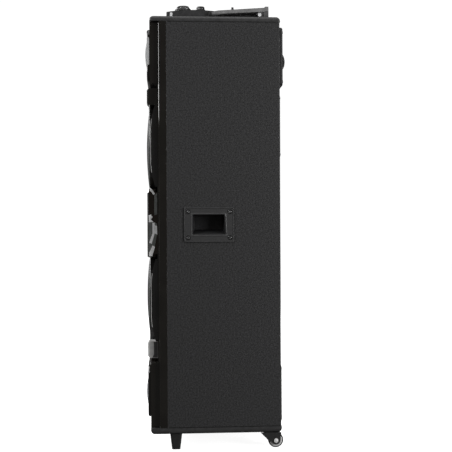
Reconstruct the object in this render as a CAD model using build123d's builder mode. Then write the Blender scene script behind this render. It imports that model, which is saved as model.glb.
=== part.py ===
"""Party tower loudspeaker: a tall two-way cabinet with two 12 inch woofers, a horn, a top console
with knobs and a lifting tablet tray, a pull handle at the back, two front feet and two castors.
Millimetres, +Z up, the front faces -Y, the origin is on the floor under the middle of the box."""
import os
from math import asin, cos, sin

from build123d import *

os.makedirs("parts", exist_ok=True)

# Driving dimensions
half_width = 200.0
seam_y = -142.5  # plane between the moulded front fascia and the wooden cabinet
cabinet_depth = 314.0
back_y = seam_y + cabinet_depth
cabinet_bottom = 61.0
cabinet_top = 1181.0
board = 15.0
cover_bottom = 43.0
cover_top = 1196.0
middle_z = 625.0  # the front is laid out symmetrically above and below this height
fit_gap = 0.3

# Front fascia
rim_depth = 22.0
deck_depth = 46.0
deck_half_width = 186.0
module_half_width = 165.0
module_depth = 54.0
lens_depth = 58.0
woofer_rise = 213.5
woofer_hole_radius = 156.0
bezel_radius = 168.0
grille_radius = 158.0
grille_rise = 13.0

# Woofer
flange_radius = 154.0
baffle_hole_radius = 142.0
surround_outer = 139.0
surround_inner = 122.0
cone_outer = 121.5
coil_radius = 38.0
magnet_radius = 78.0

# Console, knobs and tray on the top
console_half_width = 168.0
console_rear = seam_y + 140.0
console_crown = 1219.0
knob_x = 138.0
dial_radius = 23.0
knob_radius = 13.0
tone_knob_radius = 10.0
knob_top = 1234.0
tray_pivot_y = seam_y + 124.0
tray_pivot_z = 1206.0
tray_rear = seam_y + 286.0
tray_front_z = 1216.0
tray_rear_z = 1226.0
tray_thickness = 11.0
pin_radius = 2.5

# Feet and castors
foot_x = 178.0
foot_y = seam_y + 23.0
axle_y = seam_y + 299.5
wheel_radius = 21.0
axle_radius = 4.0
wheel_x = 181.0
wheel_width = 16.0

made = []


def finish(builder, name):
    """Labels a finished piece and keeps it for export under its node name."""
    builder.part.label = name
    made.append((name, builder.part))


def block(x_range, y_range, z_range, mode=Mode.ADD):
    """A box between two X, two Y and two Z values, for the part being built."""
    size = [high - low for low, high in (x_range, y_range, z_range)]
    centre = [(high + low) / 2 for low, high in (x_range, y_range, z_range)]
    with Locations(tuple(centre)):
        Box(*size, mode=mode)


def front_plane(depth):
    """The upright plane a given depth in front of the seam; it faces the listener."""
    return Plane.XZ.offset(depth - seam_y)


def rear_plane(depth):
    """The upright plane a given depth behind the cabinet's back; it faces away from the listener."""
    return Plane((0, back_y + depth, 0), x_dir=(-1, 0, 0), z_dir=(0, 1, 0))


# --- Wooden cabinet ---------------------------------------------------------------------------
handle_y = seam_y + 116.0
handle_z = 620.0
handle_width = 137.0
handle_height = 95.0
handle_cutout = (102.0, 64.0)
handle_mouth = (93.0, 56.0)
handle_depth = 48.0
handle_flange = 3.0
handle_screw_spacing = (115.0, 71.5)
screw_shaft_radius = 2.0

screw_places = []
for dy in (-handle_screw_spacing[0] / 2, handle_screw_spacing[0] / 2):
    for dz in (-handle_screw_spacing[1] / 2, handle_screw_spacing[1] / 2):
        screw_places.append((handle_y + dy, handle_z + dz))

for side, name in ((1, "side_panel_right"), (-1, "side_panel_left")):
    with BuildPart() as side_panel:
        x_range = sorted((side * half_width, side * (half_width - board)))
        block(x_range, (seam_y, back_y), (cabinet_bottom, cabinet_top))
        outer = side_panel.edges().filter_by(Axis.Z).sort_by(Axis.Y)[-2:].sort_by(Axis.X)
        fillet(outer[-1] if side > 0 else outer[0], radius=2.5)
        cut_y = (handle_y - handle_cutout[0] / 2, handle_y + handle_cutout[0] / 2)
        cut_z = (handle_z - handle_cutout[1] / 2, handle_z + handle_cutout[1] / 2)
        block(x_range, cut_y, cut_z, mode=Mode.SUBTRACT)
        with BuildSketch(Plane.YZ.offset(x_range[0])):
            with Locations(*screw_places):
                Circle(screw_shaft_radius)
        extrude(amount=board, mode=Mode.SUBTRACT)
    finish(side_panel, name)

inner_x = (-half_width + board, half_width - board)
with BuildPart() as top_board:
    block(inner_x, (seam_y + board, back_y - board), (cabinet_top - board, cabinet_top))
finish(top_board, "top_board")

with BuildPart() as bottom_board:
    block(inner_x, (seam_y + board, back_y - board), (cabinet_bottom, cabinet_bottom + board))
finish(bottom_board, "bottom_board")

# Openings in the back: the pull handle's pocket, the connector panel and the amplifier plate
pocket_x = 92.0
pocket_z = (1034.0, 1146.0)
io_cut_z = (835.0, 957.0)
amp_cut_z = (95.0, 207.0)
plate_cut_x = 140.0
with BuildPart() as rear_board:
    block(inner_x, (back_y - board, back_y), (cabinet_bottom, cabinet_top))
    cuts = ((pocket_x + 4, pocket_z), (plate_cut_x, io_cut_z), (plate_cut_x, amp_cut_z))
    for half, z_range in cuts:
        block((-half, half), (back_y - board, back_y), z_range, mode=Mode.SUBTRACT)
finish(rear_board, "rear_board")

horn_half = (112.0, 46.0)  # mouth of the horn and of the bass port, half width and half height
module_rise = 470.0  # centre of the horn module above the middle; the port module mirrors it
with BuildPart() as front_baffle:
    block(inner_x, (seam_y, seam_y + board), (cabinet_bottom, cabinet_top))
    with BuildSketch(front_plane(0)):
        with Locations((0, middle_z + woofer_rise), (0, middle_z - woofer_rise)):
            Circle(baffle_hole_radius)
        with Locations((0, middle_z + module_rise), (0, middle_z - module_rise)):
            RectangleRounded(2 * horn_half[0], 2 * horn_half[1], 12)
    extrude(amount=-board, mode=Mode.SUBTRACT)
finish(front_baffle, "front_baffle")

# --- Moulded covers above and below the cabinet ------------------------------------------------
cover_front = seam_y - deck_depth
cover_rear = back_y + 2.0
cover_corner = 12.0
cover_skin = 5.0
cover_wall = 10.0

cover_shapes = (
    ("top_cover", cabinet_top, cover_top, cabinet_top, Axis.Z, -1),
    ("bottom_cover", cover_bottom, cabinet_bottom, cabinet_bottom - 13.0, Axis.Z, 0),
)
for name, low, high, hollow_low, axis, index in cover_shapes:
    with BuildPart() as cover:
        block((-half_width, half_width), (cover_front, cover_rear), (low, high))
        fillet(cover.edges().filter_by(Axis.Z), radius=6)
        front_edge = cover.edges().filter_by(Axis.X).group_by(Axis.Y)[0].sort_by(axis)[index]
        fillet(front_edge, radius=cover_corner)
        hollow_x = (-half_width + cover_wall, half_width - cover_wall)
        hollow_y = (cover_front + cover_wall, cover_rear - cover_wall)
        hollow_z = (hollow_low, hollow_low + high - low - cover_skin)
        block(hollow_x, hollow_y, hollow_z, mode=Mode.SUBTRACT)
    finish(cover, name)

# --- Front fascia ------------------------------------------------------------------------------
with BuildPart() as front_fascia:
    block((-half_width, half_width), (seam_y - rim_depth, seam_y), (cabinet_bottom, cabinet_top))
    rim_edges = front_fascia.edges().filter_by(Axis.Z).group_by(Axis.Y)[0]
    fillet(rim_edges, radius=6)
    deck_y = (seam_y - deck_depth, seam_y - rim_depth)
    block((-deck_half_width, deck_half_width), deck_y, (cabinet_bottom, cabinet_top))
    with BuildSketch(front_plane(deck_depth)):
        with Locations((0, middle_z + woofer_rise), (0, middle_z - woofer_rise)):
            Circle(woofer_hole_radius)
        with Locations((0, middle_z + module_rise), (0, middle_z - module_rise)):
            RectangleRounded(2 * horn_half[0], 2 * horn_half[1], 12)
    extrude(amount=-deck_depth, mode=Mode.SUBTRACT)
    # The deck is stepped down beside each woofer and between them, where the bezels and trims sit.
    step_top = middle_z + 386.0
    step_bottom = middle_z - 386.0
    step_y = (seam_y - deck_depth, seam_y - rim_depth - 4.0)
    block((-half_width, half_width), step_y, (step_bottom, step_top), mode=Mode.SUBTRACT)
finish(front_fascia, "front_fascia")

# The woofer bezels fill the step around each woofer; their side walls have slanted ends.
bezel_back = rim_depth + 4.0
bezel_face = deck_depth - 1.0
bezel_half_height = 113.0
bezel_slant = 64.0


def woofer_bezel(centre_z):
    """A moulded frame round one woofer: a raised ring between two side walls."""
    with BuildPart() as bezel:
        with BuildSketch(Plane.YZ.offset(-deck_half_width)):
            with BuildLine():
                low = centre_z - bezel_half_height
                high = centre_z + bezel_half_height
                Polyline(
                    (seam_y - bezel_back, low),
                    (seam_y - bezel_back - 6, low),
                    (seam_y - bezel_face + 3, low + 0.6 * bezel_slant),
                    (seam_y - bezel_face, low + bezel_slant),
                    (seam_y - bezel_face, high - bezel_slant),
                    (seam_y - bezel_face + 3, high - 0.6 * bezel_slant),
                    (seam_y - bezel_back - 6, high),
                    (seam_y - bezel_back, high),
                    close=True,
                )
            make_face()
        extrude(amount=2 * deck_half_width)
        with BuildSketch(front_plane(bezel_back)):
            with Locations((0, centre_z)):
                Circle(bezel_radius)
        extrude(amount=bezel_face + 3 - bezel_back)
        fillet(bezel.faces().sort_by(Axis.Y)[0].edges(), radius=2)
        with BuildSketch(front_plane(module_depth)):
            with Locations((0, centre_z)):
                Circle(woofer_hole_radius - 8)
        extrude(amount=-module_depth + bezel_back, mode=Mode.SUBTRACT)
        with BuildSketch(front_plane(module_depth)):
            with Locations((0, centre_z)):
                Circle(grille_radius + 1)
        extrude(amount=-(module_depth - bezel_face + 2), mode=Mode.SUBTRACT)
    return bezel


def revolved_about_woofer(points, centre_z):
    """Turns a closed (radius, depth behind the seam) outline about one woofer's axis."""
    with BuildPart() as turned:
        with BuildSketch(Plane.XY.offset(centre_z)):
            with BuildLine():
                Polyline(*[(radius, seam_y + depth) for radius, depth in points], close=True)
            make_face()
        revolve(axis=Axis((0, 0, centre_z), (0, 1, 0)))
    return turned


def woofer_grille(centre_z):
    """A domed guard: a thin cap that rises in front of the cone, with a flat rim."""
    sheet = 1.4
    rim = 6.0
    rim_depth_front = bezel_face - 2.0
    dome_radius = grille_radius - rim
    with BuildPart() as grille:
        with BuildSketch(Plane.XY.offset(centre_z)):
            with BuildLine():
                edge_y = seam_y - rim_depth_front
                crown_y = edge_y - grille_rise
                outer_end = (dome_radius, edge_y - sheet)
                sphere_radius = (dome_radius**2 + grille_rise**2) / (2 * grille_rise)
                half_angle = asin(dome_radius / sphere_radius) / 2
                flank_rise = sphere_radius * (1 - cos(half_angle))
                flank = (sphere_radius * sin(half_angle), crown_y + flank_rise)
                Line((0, crown_y), (0, crown_y - sheet))
                ThreePointArc((0, crown_y - sheet), (flank[0], flank[1] - sheet), outer_end)
                Line(outer_end, (grille_radius, edge_y - sheet))
                Line((grille_radius, edge_y - sheet), (grille_radius, edge_y))
                Line((grille_radius, edge_y), (dome_radius, edge_y))
                ThreePointArc((dome_radius, edge_y), flank, (0, crown_y))
            make_face()
        revolve(axis=Axis((0, 0, centre_z), (0, 1, 0)))
    return grille


def basket_outline():
    return (
        (flange_radius, -6),
        (flange_radius, 0),
        (140.0, 0),
        (138.0, 10),
        (92.0, 78),
        (magnet_radius, 80),
        (magnet_radius, 84),
        (46.0, 84),
        (46.0, 80),
        (74.0, 76),
        (134.5, -2),
        (surround_outer, -3),
        (surround_outer, -6),
    )


def magnet_outline():
    """Top plate, ring magnet, back plate and pole piece, with the voice coil's gap between them."""
    gap_in = coil_radius - 2.0
    gap_out = coil_radius + 2.5
    return (
        (0, 84),
        (gap_in, 84),
        (gap_in, 124),
        (gap_out, 124),
        (gap_out, 84),
        (magnet_radius, 84),
        (magnet_radius, 134),
        (0, 134),
    )


def cone_outline():
    """Paper cone, dust cap and coil former as one moving piece."""
    former_out = coil_radius + 0.6
    former_in = coil_radius - 0.6
    return (
        (0, 34),
        (coil_radius * 0.6, 38),
        (coil_radius + 6, 50),
        (cone_outer, -3),
        (cone_outer, -0.5),
        (coil_radius + 6, 54),
        (former_out, 58),
        (former_out, 104),
        (former_in, 104),
        (former_in, 55),
        (coil_radius * 0.6, 41),
        (0, 37),
    )


def woofer_suspension(centre_z):
    """The half-roll surround at the front and the corrugated centring disc at the coil."""
    roll_middle = (surround_outer + surround_inner) / 2
    roll = (surround_outer - surround_inner) / 2 - 0.6
    with BuildPart() as suspension:
        with BuildSketch(Plane.XY.offset(centre_z)):
            with Locations((roll_middle, seam_y - 5)):
                Circle(roll)
                Circle(roll - 1.2, mode=Mode.SUBTRACT)
            block_y = seam_y - 5 + roll / 2
            with Locations((roll_middle, block_y)):
                Rectangle(2 * roll + 1, roll, mode=Mode.SUBTRACT)
            with Locations((59, seam_y + 73)):
                Rectangle(33.4, 1.2)
            with Locations((50, seam_y + 72), (58, seam_y + 72), (66, seam_y + 72)):
                Rectangle(3, 1.6)
        revolve(axis=Axis((0, 0, centre_z), (0, 1, 0)))
    return suspension


for word, centre in (("upper", middle_z + woofer_rise), ("lower", middle_z - woofer_rise)):
    finish(woofer_bezel(centre), "woofer_bezel_" + word)
    finish(woofer_grille(centre), "woofer_grille_" + word)
    finish(revolved_about_woofer(basket_outline(), centre), "woofer_basket_" + word)
    finish(revolved_about_woofer(magnet_outline(), centre), "woofer_magnet_" + word)
    finish(revolved_about_woofer(cone_outline(), centre), "woofer_cone_" + word)
    finish(woofer_suspension(centre), "woofer_surround_" + word)

# The bow-shaped ornament fills the space between the two round bezels.
ornament_half_height = 95.0
with BuildPart() as centre_ornament:
    with BuildSketch(front_plane(bezel_back)):
        with Locations((0, middle_z)):
            RectangleRounded(2 * (module_half_width + 8), 2 * ornament_half_height, 14)
        with Locations((0, middle_z + woofer_rise), (0, middle_z - woofer_rise)):
            Circle(bezel_radius + 1, mode=Mode.SUBTRACT)
            wall_height = 2 * bezel_half_height + 2
            Rectangle(2 * deck_half_width + 2, wall_height, mode=Mode.SUBTRACT)
    extrude(amount=module_depth - bezel_back)
    ornament_front = centre_ornament.faces().sort_by(Axis.Y)[0]
    chamfer(ornament_front.edges(), length=7, length2=5)
finish(centre_ornament, "centre_ornament")

# Corner trims at the outer ends of the woofer pair, left and right of each round bezel
for word, sign in (("upper", 1), ("lower", -1)):
    with BuildPart() as corner_trims:
        trim_middle = middle_z + sign * (woofer_rise + bezel_half_height + 1 + 23)
        with BuildSketch(front_plane(bezel_back)):
            with Locations((0, trim_middle)):
                Rectangle(2 * (module_half_width + 12), 46)
            with Locations((0, middle_z + sign * woofer_rise)):
                Circle(bezel_radius + 1, mode=Mode.SUBTRACT)
            with Locations((0, trim_middle)):
                Rectangle(150, 60, mode=Mode.SUBTRACT)
        extrude(amount=module_depth - bezel_back)
        trim_front = corner_trims.faces().group_by(Axis.Y)[0]
        chamfer(trim_front.edges(), length=5)
    finish(corner_trims, "corner_trim_" + word)

# The horn module at the top and the port module at the bottom share one bezel.
module_half_height = 73.0


def module_bezel(centre_z):
    """A raised, rounded frame round the horn's or the port's mouth."""
    with BuildPart() as bezel:
        with BuildSketch(front_plane(deck_depth)):
            with Locations((0, centre_z)):
                RectangleRounded(2 * module_half_width, 2 * module_half_height, 30)
        extrude(amount=module_depth - deck_depth)
        fillet(bezel.faces().sort_by(Axis.Y)[0].edges(), radius=5)
        with BuildSketch(front_plane(deck_depth)):
            with Locations((0, centre_z)):
                RectangleRounded(2 * horn_half[0] - 4, 2 * horn_half[1] - 4, 11)
        extrude(amount=module_depth - deck_depth, mode=Mode.SUBTRACT)
    return bezel


lens_half = 38.0
with BuildPart() as light_lenses:
    for centre_z in (middle_z + module_rise, middle_z - module_rise):
        for x_middle in (-140.0, 140.0):
            with BuildSketch(Plane.YZ.offset(x_middle - 5)):
                with BuildLine():
                    foot_line = Line(
                        (seam_y - module_depth, centre_z - lens_half),
                        (seam_y - module_depth, centre_z + lens_half),
                    )
                    ThreePointArc(
                        foot_line @ 1,
                        (seam_y - lens_depth, centre_z),
                        foot_line @ 0,
                    )
                make_face()
            extrude(amount=10)
finish(light_lenses, "light_lenses")


def flare(centre_z, mouth_depth, throat_depth, throat_radius, wall):
    """A flared duct from a rounded rectangular mouth back to a round throat."""
    with BuildPart() as duct:
        with BuildSketch(front_plane(mouth_depth)):
            with Locations((0, centre_z)):
                RectangleRounded(2 * horn_half[0] - 5, 2 * horn_half[1] - 5, 10)
        with BuildSketch(front_plane(-throat_depth)):
            with Locations((0, centre_z)):
                Circle(throat_radius + wall)
        loft()
        with BuildSketch(front_plane(mouth_depth)):
            with Locations((0, centre_z)):
                inset = 2 * wall + 5
                RectangleRounded(2 * horn_half[0] - inset, 2 * horn_half[1] - inset, 8)
        with BuildSketch(front_plane(-throat_depth)):
            with Locations((0, centre_z)):
                Circle(throat_radius)
        loft(mode=Mode.SUBTRACT)
    return duct


horn_throat_depth = 40.0
horn_z = middle_z + module_rise
port_z = middle_z - module_rise
finish(module_bezel(horn_z), "horn_bezel")
finish(flare(horn_z, deck_depth, horn_throat_depth, 13.0, 3.0), "tweeter_horn")
with BuildPart() as horn_driver:
    with BuildSketch(front_plane(-horn_throat_depth)):
        with Locations((0, horn_z)):
            Circle(34)
    extrude(amount=-12)
    with BuildSketch(front_plane(-horn_throat_depth - 12)):
        with Locations((0, horn_z)):
            Circle(48)
    extrude(amount=-38)
finish(horn_driver, "horn_driver")
finish(module_bezel(port_z), "port_bezel")
finish(flare(port_z, deck_depth, 120.0, 36.0, 3.0), "port_tube")


# --- Side carrying handles ---------------------------------------------------------------------
def side_handle(side):
    """A recessed carrying handle: a screwed flange round a sloping pocket."""
    with BuildPart() as handle:
        face_plane = Plane(
            (side * half_width, handle_y, handle_z), x_dir=(0, side, 0), z_dir=(side, 0, 0)
        )
        with BuildSketch(face_plane):
            RectangleRounded(handle_width, handle_height, 4)
        extrude(amount=handle_flange)
        with BuildSketch(face_plane.offset(handle_flange)):
            RectangleRounded(handle_width, handle_height, 4)
            RectangleRounded(handle_width - 5, handle_height - 5, 2.5, mode=Mode.SUBTRACT)
        extrude(amount=1)
        with BuildSketch(face_plane):
            Rectangle(handle_cutout[0] - 1, handle_cutout[1] - 1)
        with BuildSketch(face_plane.offset(-handle_depth)):
            with Locations((0, 5)):
                Rectangle(handle_cutout[0] - 16, handle_cutout[1] - 20)
        loft()
        with BuildSketch(face_plane.offset(handle_flange)):
            Rectangle(*handle_mouth)
        with BuildSketch(face_plane.offset(-handle_depth + 3)):
            with Locations((0, 5)):
                Rectangle(handle_mouth[0] - 14, handle_mouth[1] - 18)
        loft(mode=Mode.SUBTRACT)
        with BuildSketch(Plane.YZ.offset(side * (half_width + handle_flange))):
            with Locations(*screw_places):
                Circle(screw_shaft_radius)
        extrude(amount=-side * handle_flange, mode=Mode.SUBTRACT)
    return handle


finish(side_handle(1), "side_handle_right")
finish(side_handle(-1), "side_handle_left")

with BuildPart() as handle_screws:
    for side in (1, -1):
        with BuildSketch(Plane.YZ.offset(side * (half_width + handle_flange))):
            with Locations(*screw_places):
                Circle(5)
        extrude(amount=side * 1)
        with BuildSketch(Plane.YZ.offset(side * (half_width + handle_flange))):
            with Locations(*screw_places):
                Circle(screw_shaft_radius)
        extrude(amount=-side * (handle_flange + board - 1))
finish(handle_screws, "handle_screws")

# --- Top console -------------------------------------------------------------------------------
knobs = (
    ("dial_right", knob_x, seam_y + 48.5, dial_radius, 6.0),
    ("dial_left", -knob_x, seam_y + 48.5, dial_radius, 6.0),
    ("knob_volume", knob_x, seam_y + 97.5, knob_radius, 1.5),
    ("knob_microphone", -knob_x, seam_y + 97.5, knob_radius, 1.5),
    ("knob_tone", 82.0, seam_y + 96.0, tone_knob_radius, 1.0),
)
buttons = (("button_back", -36.0), ("button_play", 0.0), ("button_next", 36.0))
button_y = seam_y + 96.0
button_radius = 9.0
display_x = 60.0
display_y = (seam_y + 26.0, seam_y + 66.0)
display_depth = 2.0
knob_seat_z = 1206.0
knob_shaft_radius = 3.0
button_floor = 1208.0
deck_x = 156.0

with BuildPart() as control_console:
    with BuildSketch(Plane.YZ.offset(-console_half_width)):
        with BuildLine():
            floor_line = Line((seam_y + 1, cover_top), (console_rear, cover_top))
            rear_line = Line(floor_line @ 1, (console_rear, 1215.5))
            front_line = Line(floor_line @ 0, (seam_y + 1, 1212.5))
            ThreePointArc(rear_line @ 1, (seam_y + 82, console_crown), front_line @ 1)
        make_face()
    extrude(amount=2 * console_half_width)
    fillet(control_console.edges().filter_by(Axis.Z), radius=3)
    pocket_z_range = (console_crown - 4, console_crown + 4)
    block((-display_x, display_x), display_y, pocket_z_range, mode=Mode.SUBTRACT)
    with BuildSketch(Plane.XY.offset(button_floor)):
        with Locations(*[(x, button_y) for _, x in buttons]):
            Circle(button_radius + fit_gap)
    extrude(amount=20, mode=Mode.SUBTRACT)
    with BuildSketch(Plane.XY.offset(knob_seat_z)):
        with Locations(*[(x, y) for _, x, y, _, _ in knobs]):
            Circle(knob_shaft_radius + 0.05)
    extrude(amount=20, mode=Mode.SUBTRACT)
    # A low deck carries on under the tray.
    with BuildSketch(Plane.YZ.offset(-deck_x)):
        with BuildLine():
            Polyline(
                (console_rear - 5, cover_top),
                (seam_y + 261, cover_top),
                (seam_y + 261, tray_rear_z - tray_thickness - 4),
                (console_rear, tray_front_z - tray_thickness - 2.5),
                (console_rear - 5, tray_front_z - tray_thickness - 2.5),
                close=True,
            )
        make_face()
    extrude(amount=2 * deck_x)
    # The tray's pivot pins pass into the two sides.
    with BuildSketch(Plane.YZ.offset(-console_half_width)):
        with Locations((tray_pivot_y, tray_pivot_z)):
            Circle(pin_radius)
    extrude(amount=2 * console_half_width, mode=Mode.SUBTRACT)
finish(control_console, "control_console")

with BuildPart() as display_window:
    window_x = (-display_x + 0.2, display_x - 0.2)
    window_y = (display_y[0] + 0.2, display_y[1] - 0.2)
    block(window_x, window_y, (console_crown - 4, console_crown - 4 + display_depth))
finish(display_window, "display_window")


def knob(place_x, place_y, radius, taper):
    """A turned knob on its shaft: a straight skirt, then a side that leans in by the taper."""
    knob_floor = console_crown + 0.6
    skirt = 3.0
    with BuildPart() as turned:
        with BuildSketch(Plane.XZ.offset(-place_y)):
            with BuildLine():
                Polyline(
                    (place_x, knob_seat_z + 0.5),
                    (place_x + knob_shaft_radius, knob_seat_z + 0.5),
                    (place_x + knob_shaft_radius, knob_floor),
                    (place_x + radius, knob_floor),
                    (place_x + radius, knob_floor + skirt),
                    (place_x + radius - taper, knob_top - 1.5),
                    (place_x + radius - taper - 1.5, knob_top),
                    (place_x, knob_top),
                    close=True,
                )
            make_face()
        revolve(axis=Axis((place_x, place_y, 0), (0, 0, 1)))
    return turned


for name, place_x, place_y, radius, taper in knobs:
    finish(knob(place_x, place_y, radius, taper), name)

for name, place_x in buttons:
    with BuildPart() as button:
        with Locations((place_x, button_y, button_floor + 2)):
            Cylinder(button_radius, 12, align=(Align.CENTER, Align.CENTER, Align.MIN))
        fillet(button.edges().group_by(Axis.Z)[-1], radius=1.5)
    finish(button, name)

# --- Tablet tray -------------------------------------------------------------------------------
tray_arm_x = (console_half_width + 1.0, console_half_width + 9.0)
tray_plate_front = console_rear + 5.0
with BuildPart() as tablet_tray:
    with BuildSketch(Plane.YZ.offset(-tray_arm_x[1])):
        with BuildLine():
            Polyline(
                (tray_plate_front, tray_front_z - tray_thickness),
                (tray_rear, tray_rear_z - tray_thickness),
                (tray_rear, tray_rear_z + 2),
                (tray_rear - 10, tray_rear_z + 2),
                (tray_rear - 12, tray_rear_z - 1),
                (tray_plate_front, tray_front_z),
                close=True,
            )
        make_face()
    extrude(amount=2 * tray_arm_x[1])
    for side in (-1, 1):
        arm_x = sorted((side * tray_arm_x[0], side * tray_arm_x[1]))
        with BuildSketch(Plane.YZ.offset(arm_x[0])):
            with BuildLine():
                Polyline(
                    (tray_pivot_y - 5, tray_pivot_z - 4),
                    (tray_pivot_y + 5, tray_pivot_z - 4),
                    (tray_plate_front + 30, tray_front_z - tray_thickness + 3),
                    (tray_plate_front + 30, tray_front_z + 1),
                    (tray_plate_front, tray_front_z),
                    (tray_pivot_y - 5, tray_pivot_z + 4),
                    close=True,
                )
            make_face()
        extrude(amount=arm_x[1] - arm_x[0])
        with BuildSketch(Plane.YZ.offset(arm_x[0])):
            with Locations((tray_pivot_y, tray_pivot_z)):
                Circle(pin_radius + 0.05)
        extrude(amount=arm_x[1] - arm_x[0], mode=Mode.SUBTRACT)
        leg_x = sorted((side * 148.0, side * tray_arm_x[1]))
        block(leg_x, (tray_rear - 14, tray_rear), (cover_top + 0.4, tray_rear_z - 2))
        stop_x = side * 120.0
        with Locations((stop_x, seam_y + 192.0, tray_front_z + 1)):
            Cylinder(3.5, 9, align=(Align.CENTER, Align.CENTER, Align.MIN))
finish(tablet_tray, "tablet_tray")

with BuildPart() as tray_pins:
    for side in (-1, 1):
        with BuildSketch(Plane.YZ.offset(side * (console_half_width - 14))):
            with Locations((tray_pivot_y, tray_pivot_z)):
                Circle(pin_radius)
        extrude(amount=side * 24)
        with BuildSketch(Plane.YZ.offset(side * (tray_arm_x[1] + 0.5))):
            with Locations((tray_pivot_y, tray_pivot_z)):
                Circle(pin_radius + 1.5)
        extrude(amount=side * 1.5)
finish(tray_pins, "tray_pins")

# --- Pull handle on the back -------------------------------------------------------------------
frame_half = 150.0
frame_z = (1011.0, 1178.0)
frame_depth = 15.0
grip_x = 84.0
grip_pivot_depth = 8.0
grip_pivot_z = 1120.0
grip_peak_depth = 29.0
with BuildPart() as rear_handle_frame:
    block((-frame_half, frame_half), (back_y, back_y + frame_depth), frame_z)
    fillet(rear_handle_frame.edges().filter_by(Axis.Y), radius=12)
    fillet(rear_handle_frame.faces().sort_by(Axis.Y)[-1].edges(), radius=4)
    block((-pocket_x - 3, pocket_x + 3), (back_y - 40, back_y), pocket_z)
    inner_z = (pocket_z[0] + 3, pocket_z[1] - 3)
    block((-pocket_x, pocket_x), (back_y - 37, back_y + frame_depth), inner_z, mode=Mode.SUBTRACT)
    with BuildSketch(Plane.YZ.offset(-pocket_x - 12)):
        with Locations((back_y + grip_pivot_depth, grip_pivot_z)):
            Circle(3)
    extrude(amount=2 * pocket_x + 24, mode=Mode.SUBTRACT)
finish(rear_handle_frame, "rear_handle_frame")

with BuildPart() as rear_handle_grip:
    with BuildSketch(Plane.YZ.offset(-grip_x)):
        with BuildLine():
            top = (back_y + grip_pivot_depth, grip_pivot_z + 7)
            bottom = (back_y + grip_pivot_depth + 6, grip_pivot_z - 62)
            ThreePointArc(top, (back_y + grip_peak_depth, grip_pivot_z - 28), bottom)
            ThreePointArc(bottom, (back_y + grip_peak_depth - 17, grip_pivot_z - 30), top)
        make_face()
    extrude(amount=2 * grip_x)
    with BuildSketch(Plane.YZ.offset(-grip_x)):
        with Locations((back_y + grip_pivot_depth, grip_pivot_z)):
            Circle(7)
    extrude(amount=2 * grip_x)
    with BuildSketch(Plane.YZ.offset(-pocket_x - 9)):
        with Locations((back_y + grip_pivot_depth, grip_pivot_z)):
            Circle(2.95)
    extrude(amount=2 * pocket_x + 18)
finish(rear_handle_grip, "rear_handle_grip")

# --- Connector panel and amplifier on the back -------------------------------------------------
plate_half = 165.0
io_z = (808.0, 984.0)
io_plate = 5.0
jack_z = 930.0
jack_x = (-105.0, -70.0)
jack_radius = 3.25
jack_ring = 8.0
socket_x = (-20.0, 5.0, 30.0, 55.0)
port_slot = (13.0, 6.5)
usb_x = 100.0
with BuildPart() as io_panel:
    block((-plate_half, plate_half), (back_y, back_y + io_plate), io_z)
    fillet(io_panel.edges().filter_by(Axis.Y), radius=8)
    fillet(io_panel.faces().sort_by(Axis.Y)[-1].edges(), radius=1.5)
    with BuildSketch(Plane.XZ.offset(-back_y - io_plate)):
        with Locations(*[(x, jack_z) for x in jack_x]):
            Circle(jack_ring)
        with Locations(*[(x, jack_z) for x in socket_x]):
            Circle(6)
        with Locations((usb_x, jack_z)):
            Rectangle(port_slot[0] + 4, port_slot[1] + 4)
    extrude(amount=io_plate, mode=Mode.SUBTRACT)
finish(io_panel, "io_panel")

with BuildPart() as io_jacks:
    with BuildSketch(Plane.XZ.offset(-back_y - io_plate - 3)):
        with Locations(*[(x, jack_z) for x in jack_x]):
            Circle(jack_ring)
            Circle(jack_radius, mode=Mode.SUBTRACT)
    extrude(amount=io_plate + 23)
    with BuildSketch(Plane.XZ.offset(-back_y - io_plate - 7)):
        with Locations(*[(x, jack_z) for x in socket_x]):
            Circle(4.2)
            Circle(1.7, mode=Mode.SUBTRACT)
    extrude(amount=20)
    with BuildSketch(Plane.XZ.offset(-back_y - io_plate)):
        with Locations(*[(x, jack_z) for x in socket_x]):
            Circle(6)
            Circle(4.2, mode=Mode.SUBTRACT)
    extrude(amount=4)
    with BuildSketch(Plane.XZ.offset(-back_y - io_plate - 0.5)):
        with Locations((usb_x, jack_z)):
            Rectangle(port_slot[0] + 4, port_slot[1] + 4)
            Rectangle(*port_slot, mode=Mode.SUBTRACT)
    extrude(amount=14)
finish(io_jacks, "io_jacks")

amp_z = (70.0, 223.0)
amp_plate = 6.0
inlet_x = 100.0
inlet_z = 122.0
switch_x = 50.0
switch_size = (14.0, 24.0)
fuse_x = 5.0
fin_x = (-150.0, -40.0)
with BuildPart() as amplifier_plate:
    block((-plate_half, plate_half), (back_y, back_y + amp_plate), amp_z)
    fillet(amplifier_plate.edges().filter_by(Axis.Y), radius=8)
    fin_pitch = 11.0
    fin_count = int((fin_x[1] - fin_x[0]) / fin_pitch) + 1
    fin_y = (back_y + amp_plate, back_y + amp_plate + 5)
    for index in range(fin_count):
        fin_left = fin_x[0] + index * fin_pitch
        block((fin_left, fin_left + 3), fin_y, (amp_z[0] + 18, amp_z[1] - 18))
    block((inlet_x - 14, inlet_x + 14), (back_y, back_y + 20), (inlet_z - 11, inlet_z + 11), Mode.SUBTRACT)
    rocker_x = (switch_x - switch_size[0] / 2 - 1, switch_x + switch_size[0] / 2 + 1)
    rocker_z = (inlet_z - switch_size[1] / 2 - 1, inlet_z + switch_size[1] / 2 + 1)
    block(rocker_x, (back_y, back_y + 20), rocker_z, Mode.SUBTRACT)
    with Locations((fuse_x, back_y + amp_plate + 2.5, inlet_z)):
        Cylinder(8, 5, rotation=(90, 0, 0))
finish(amplifier_plate, "amplifier_plate")

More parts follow.
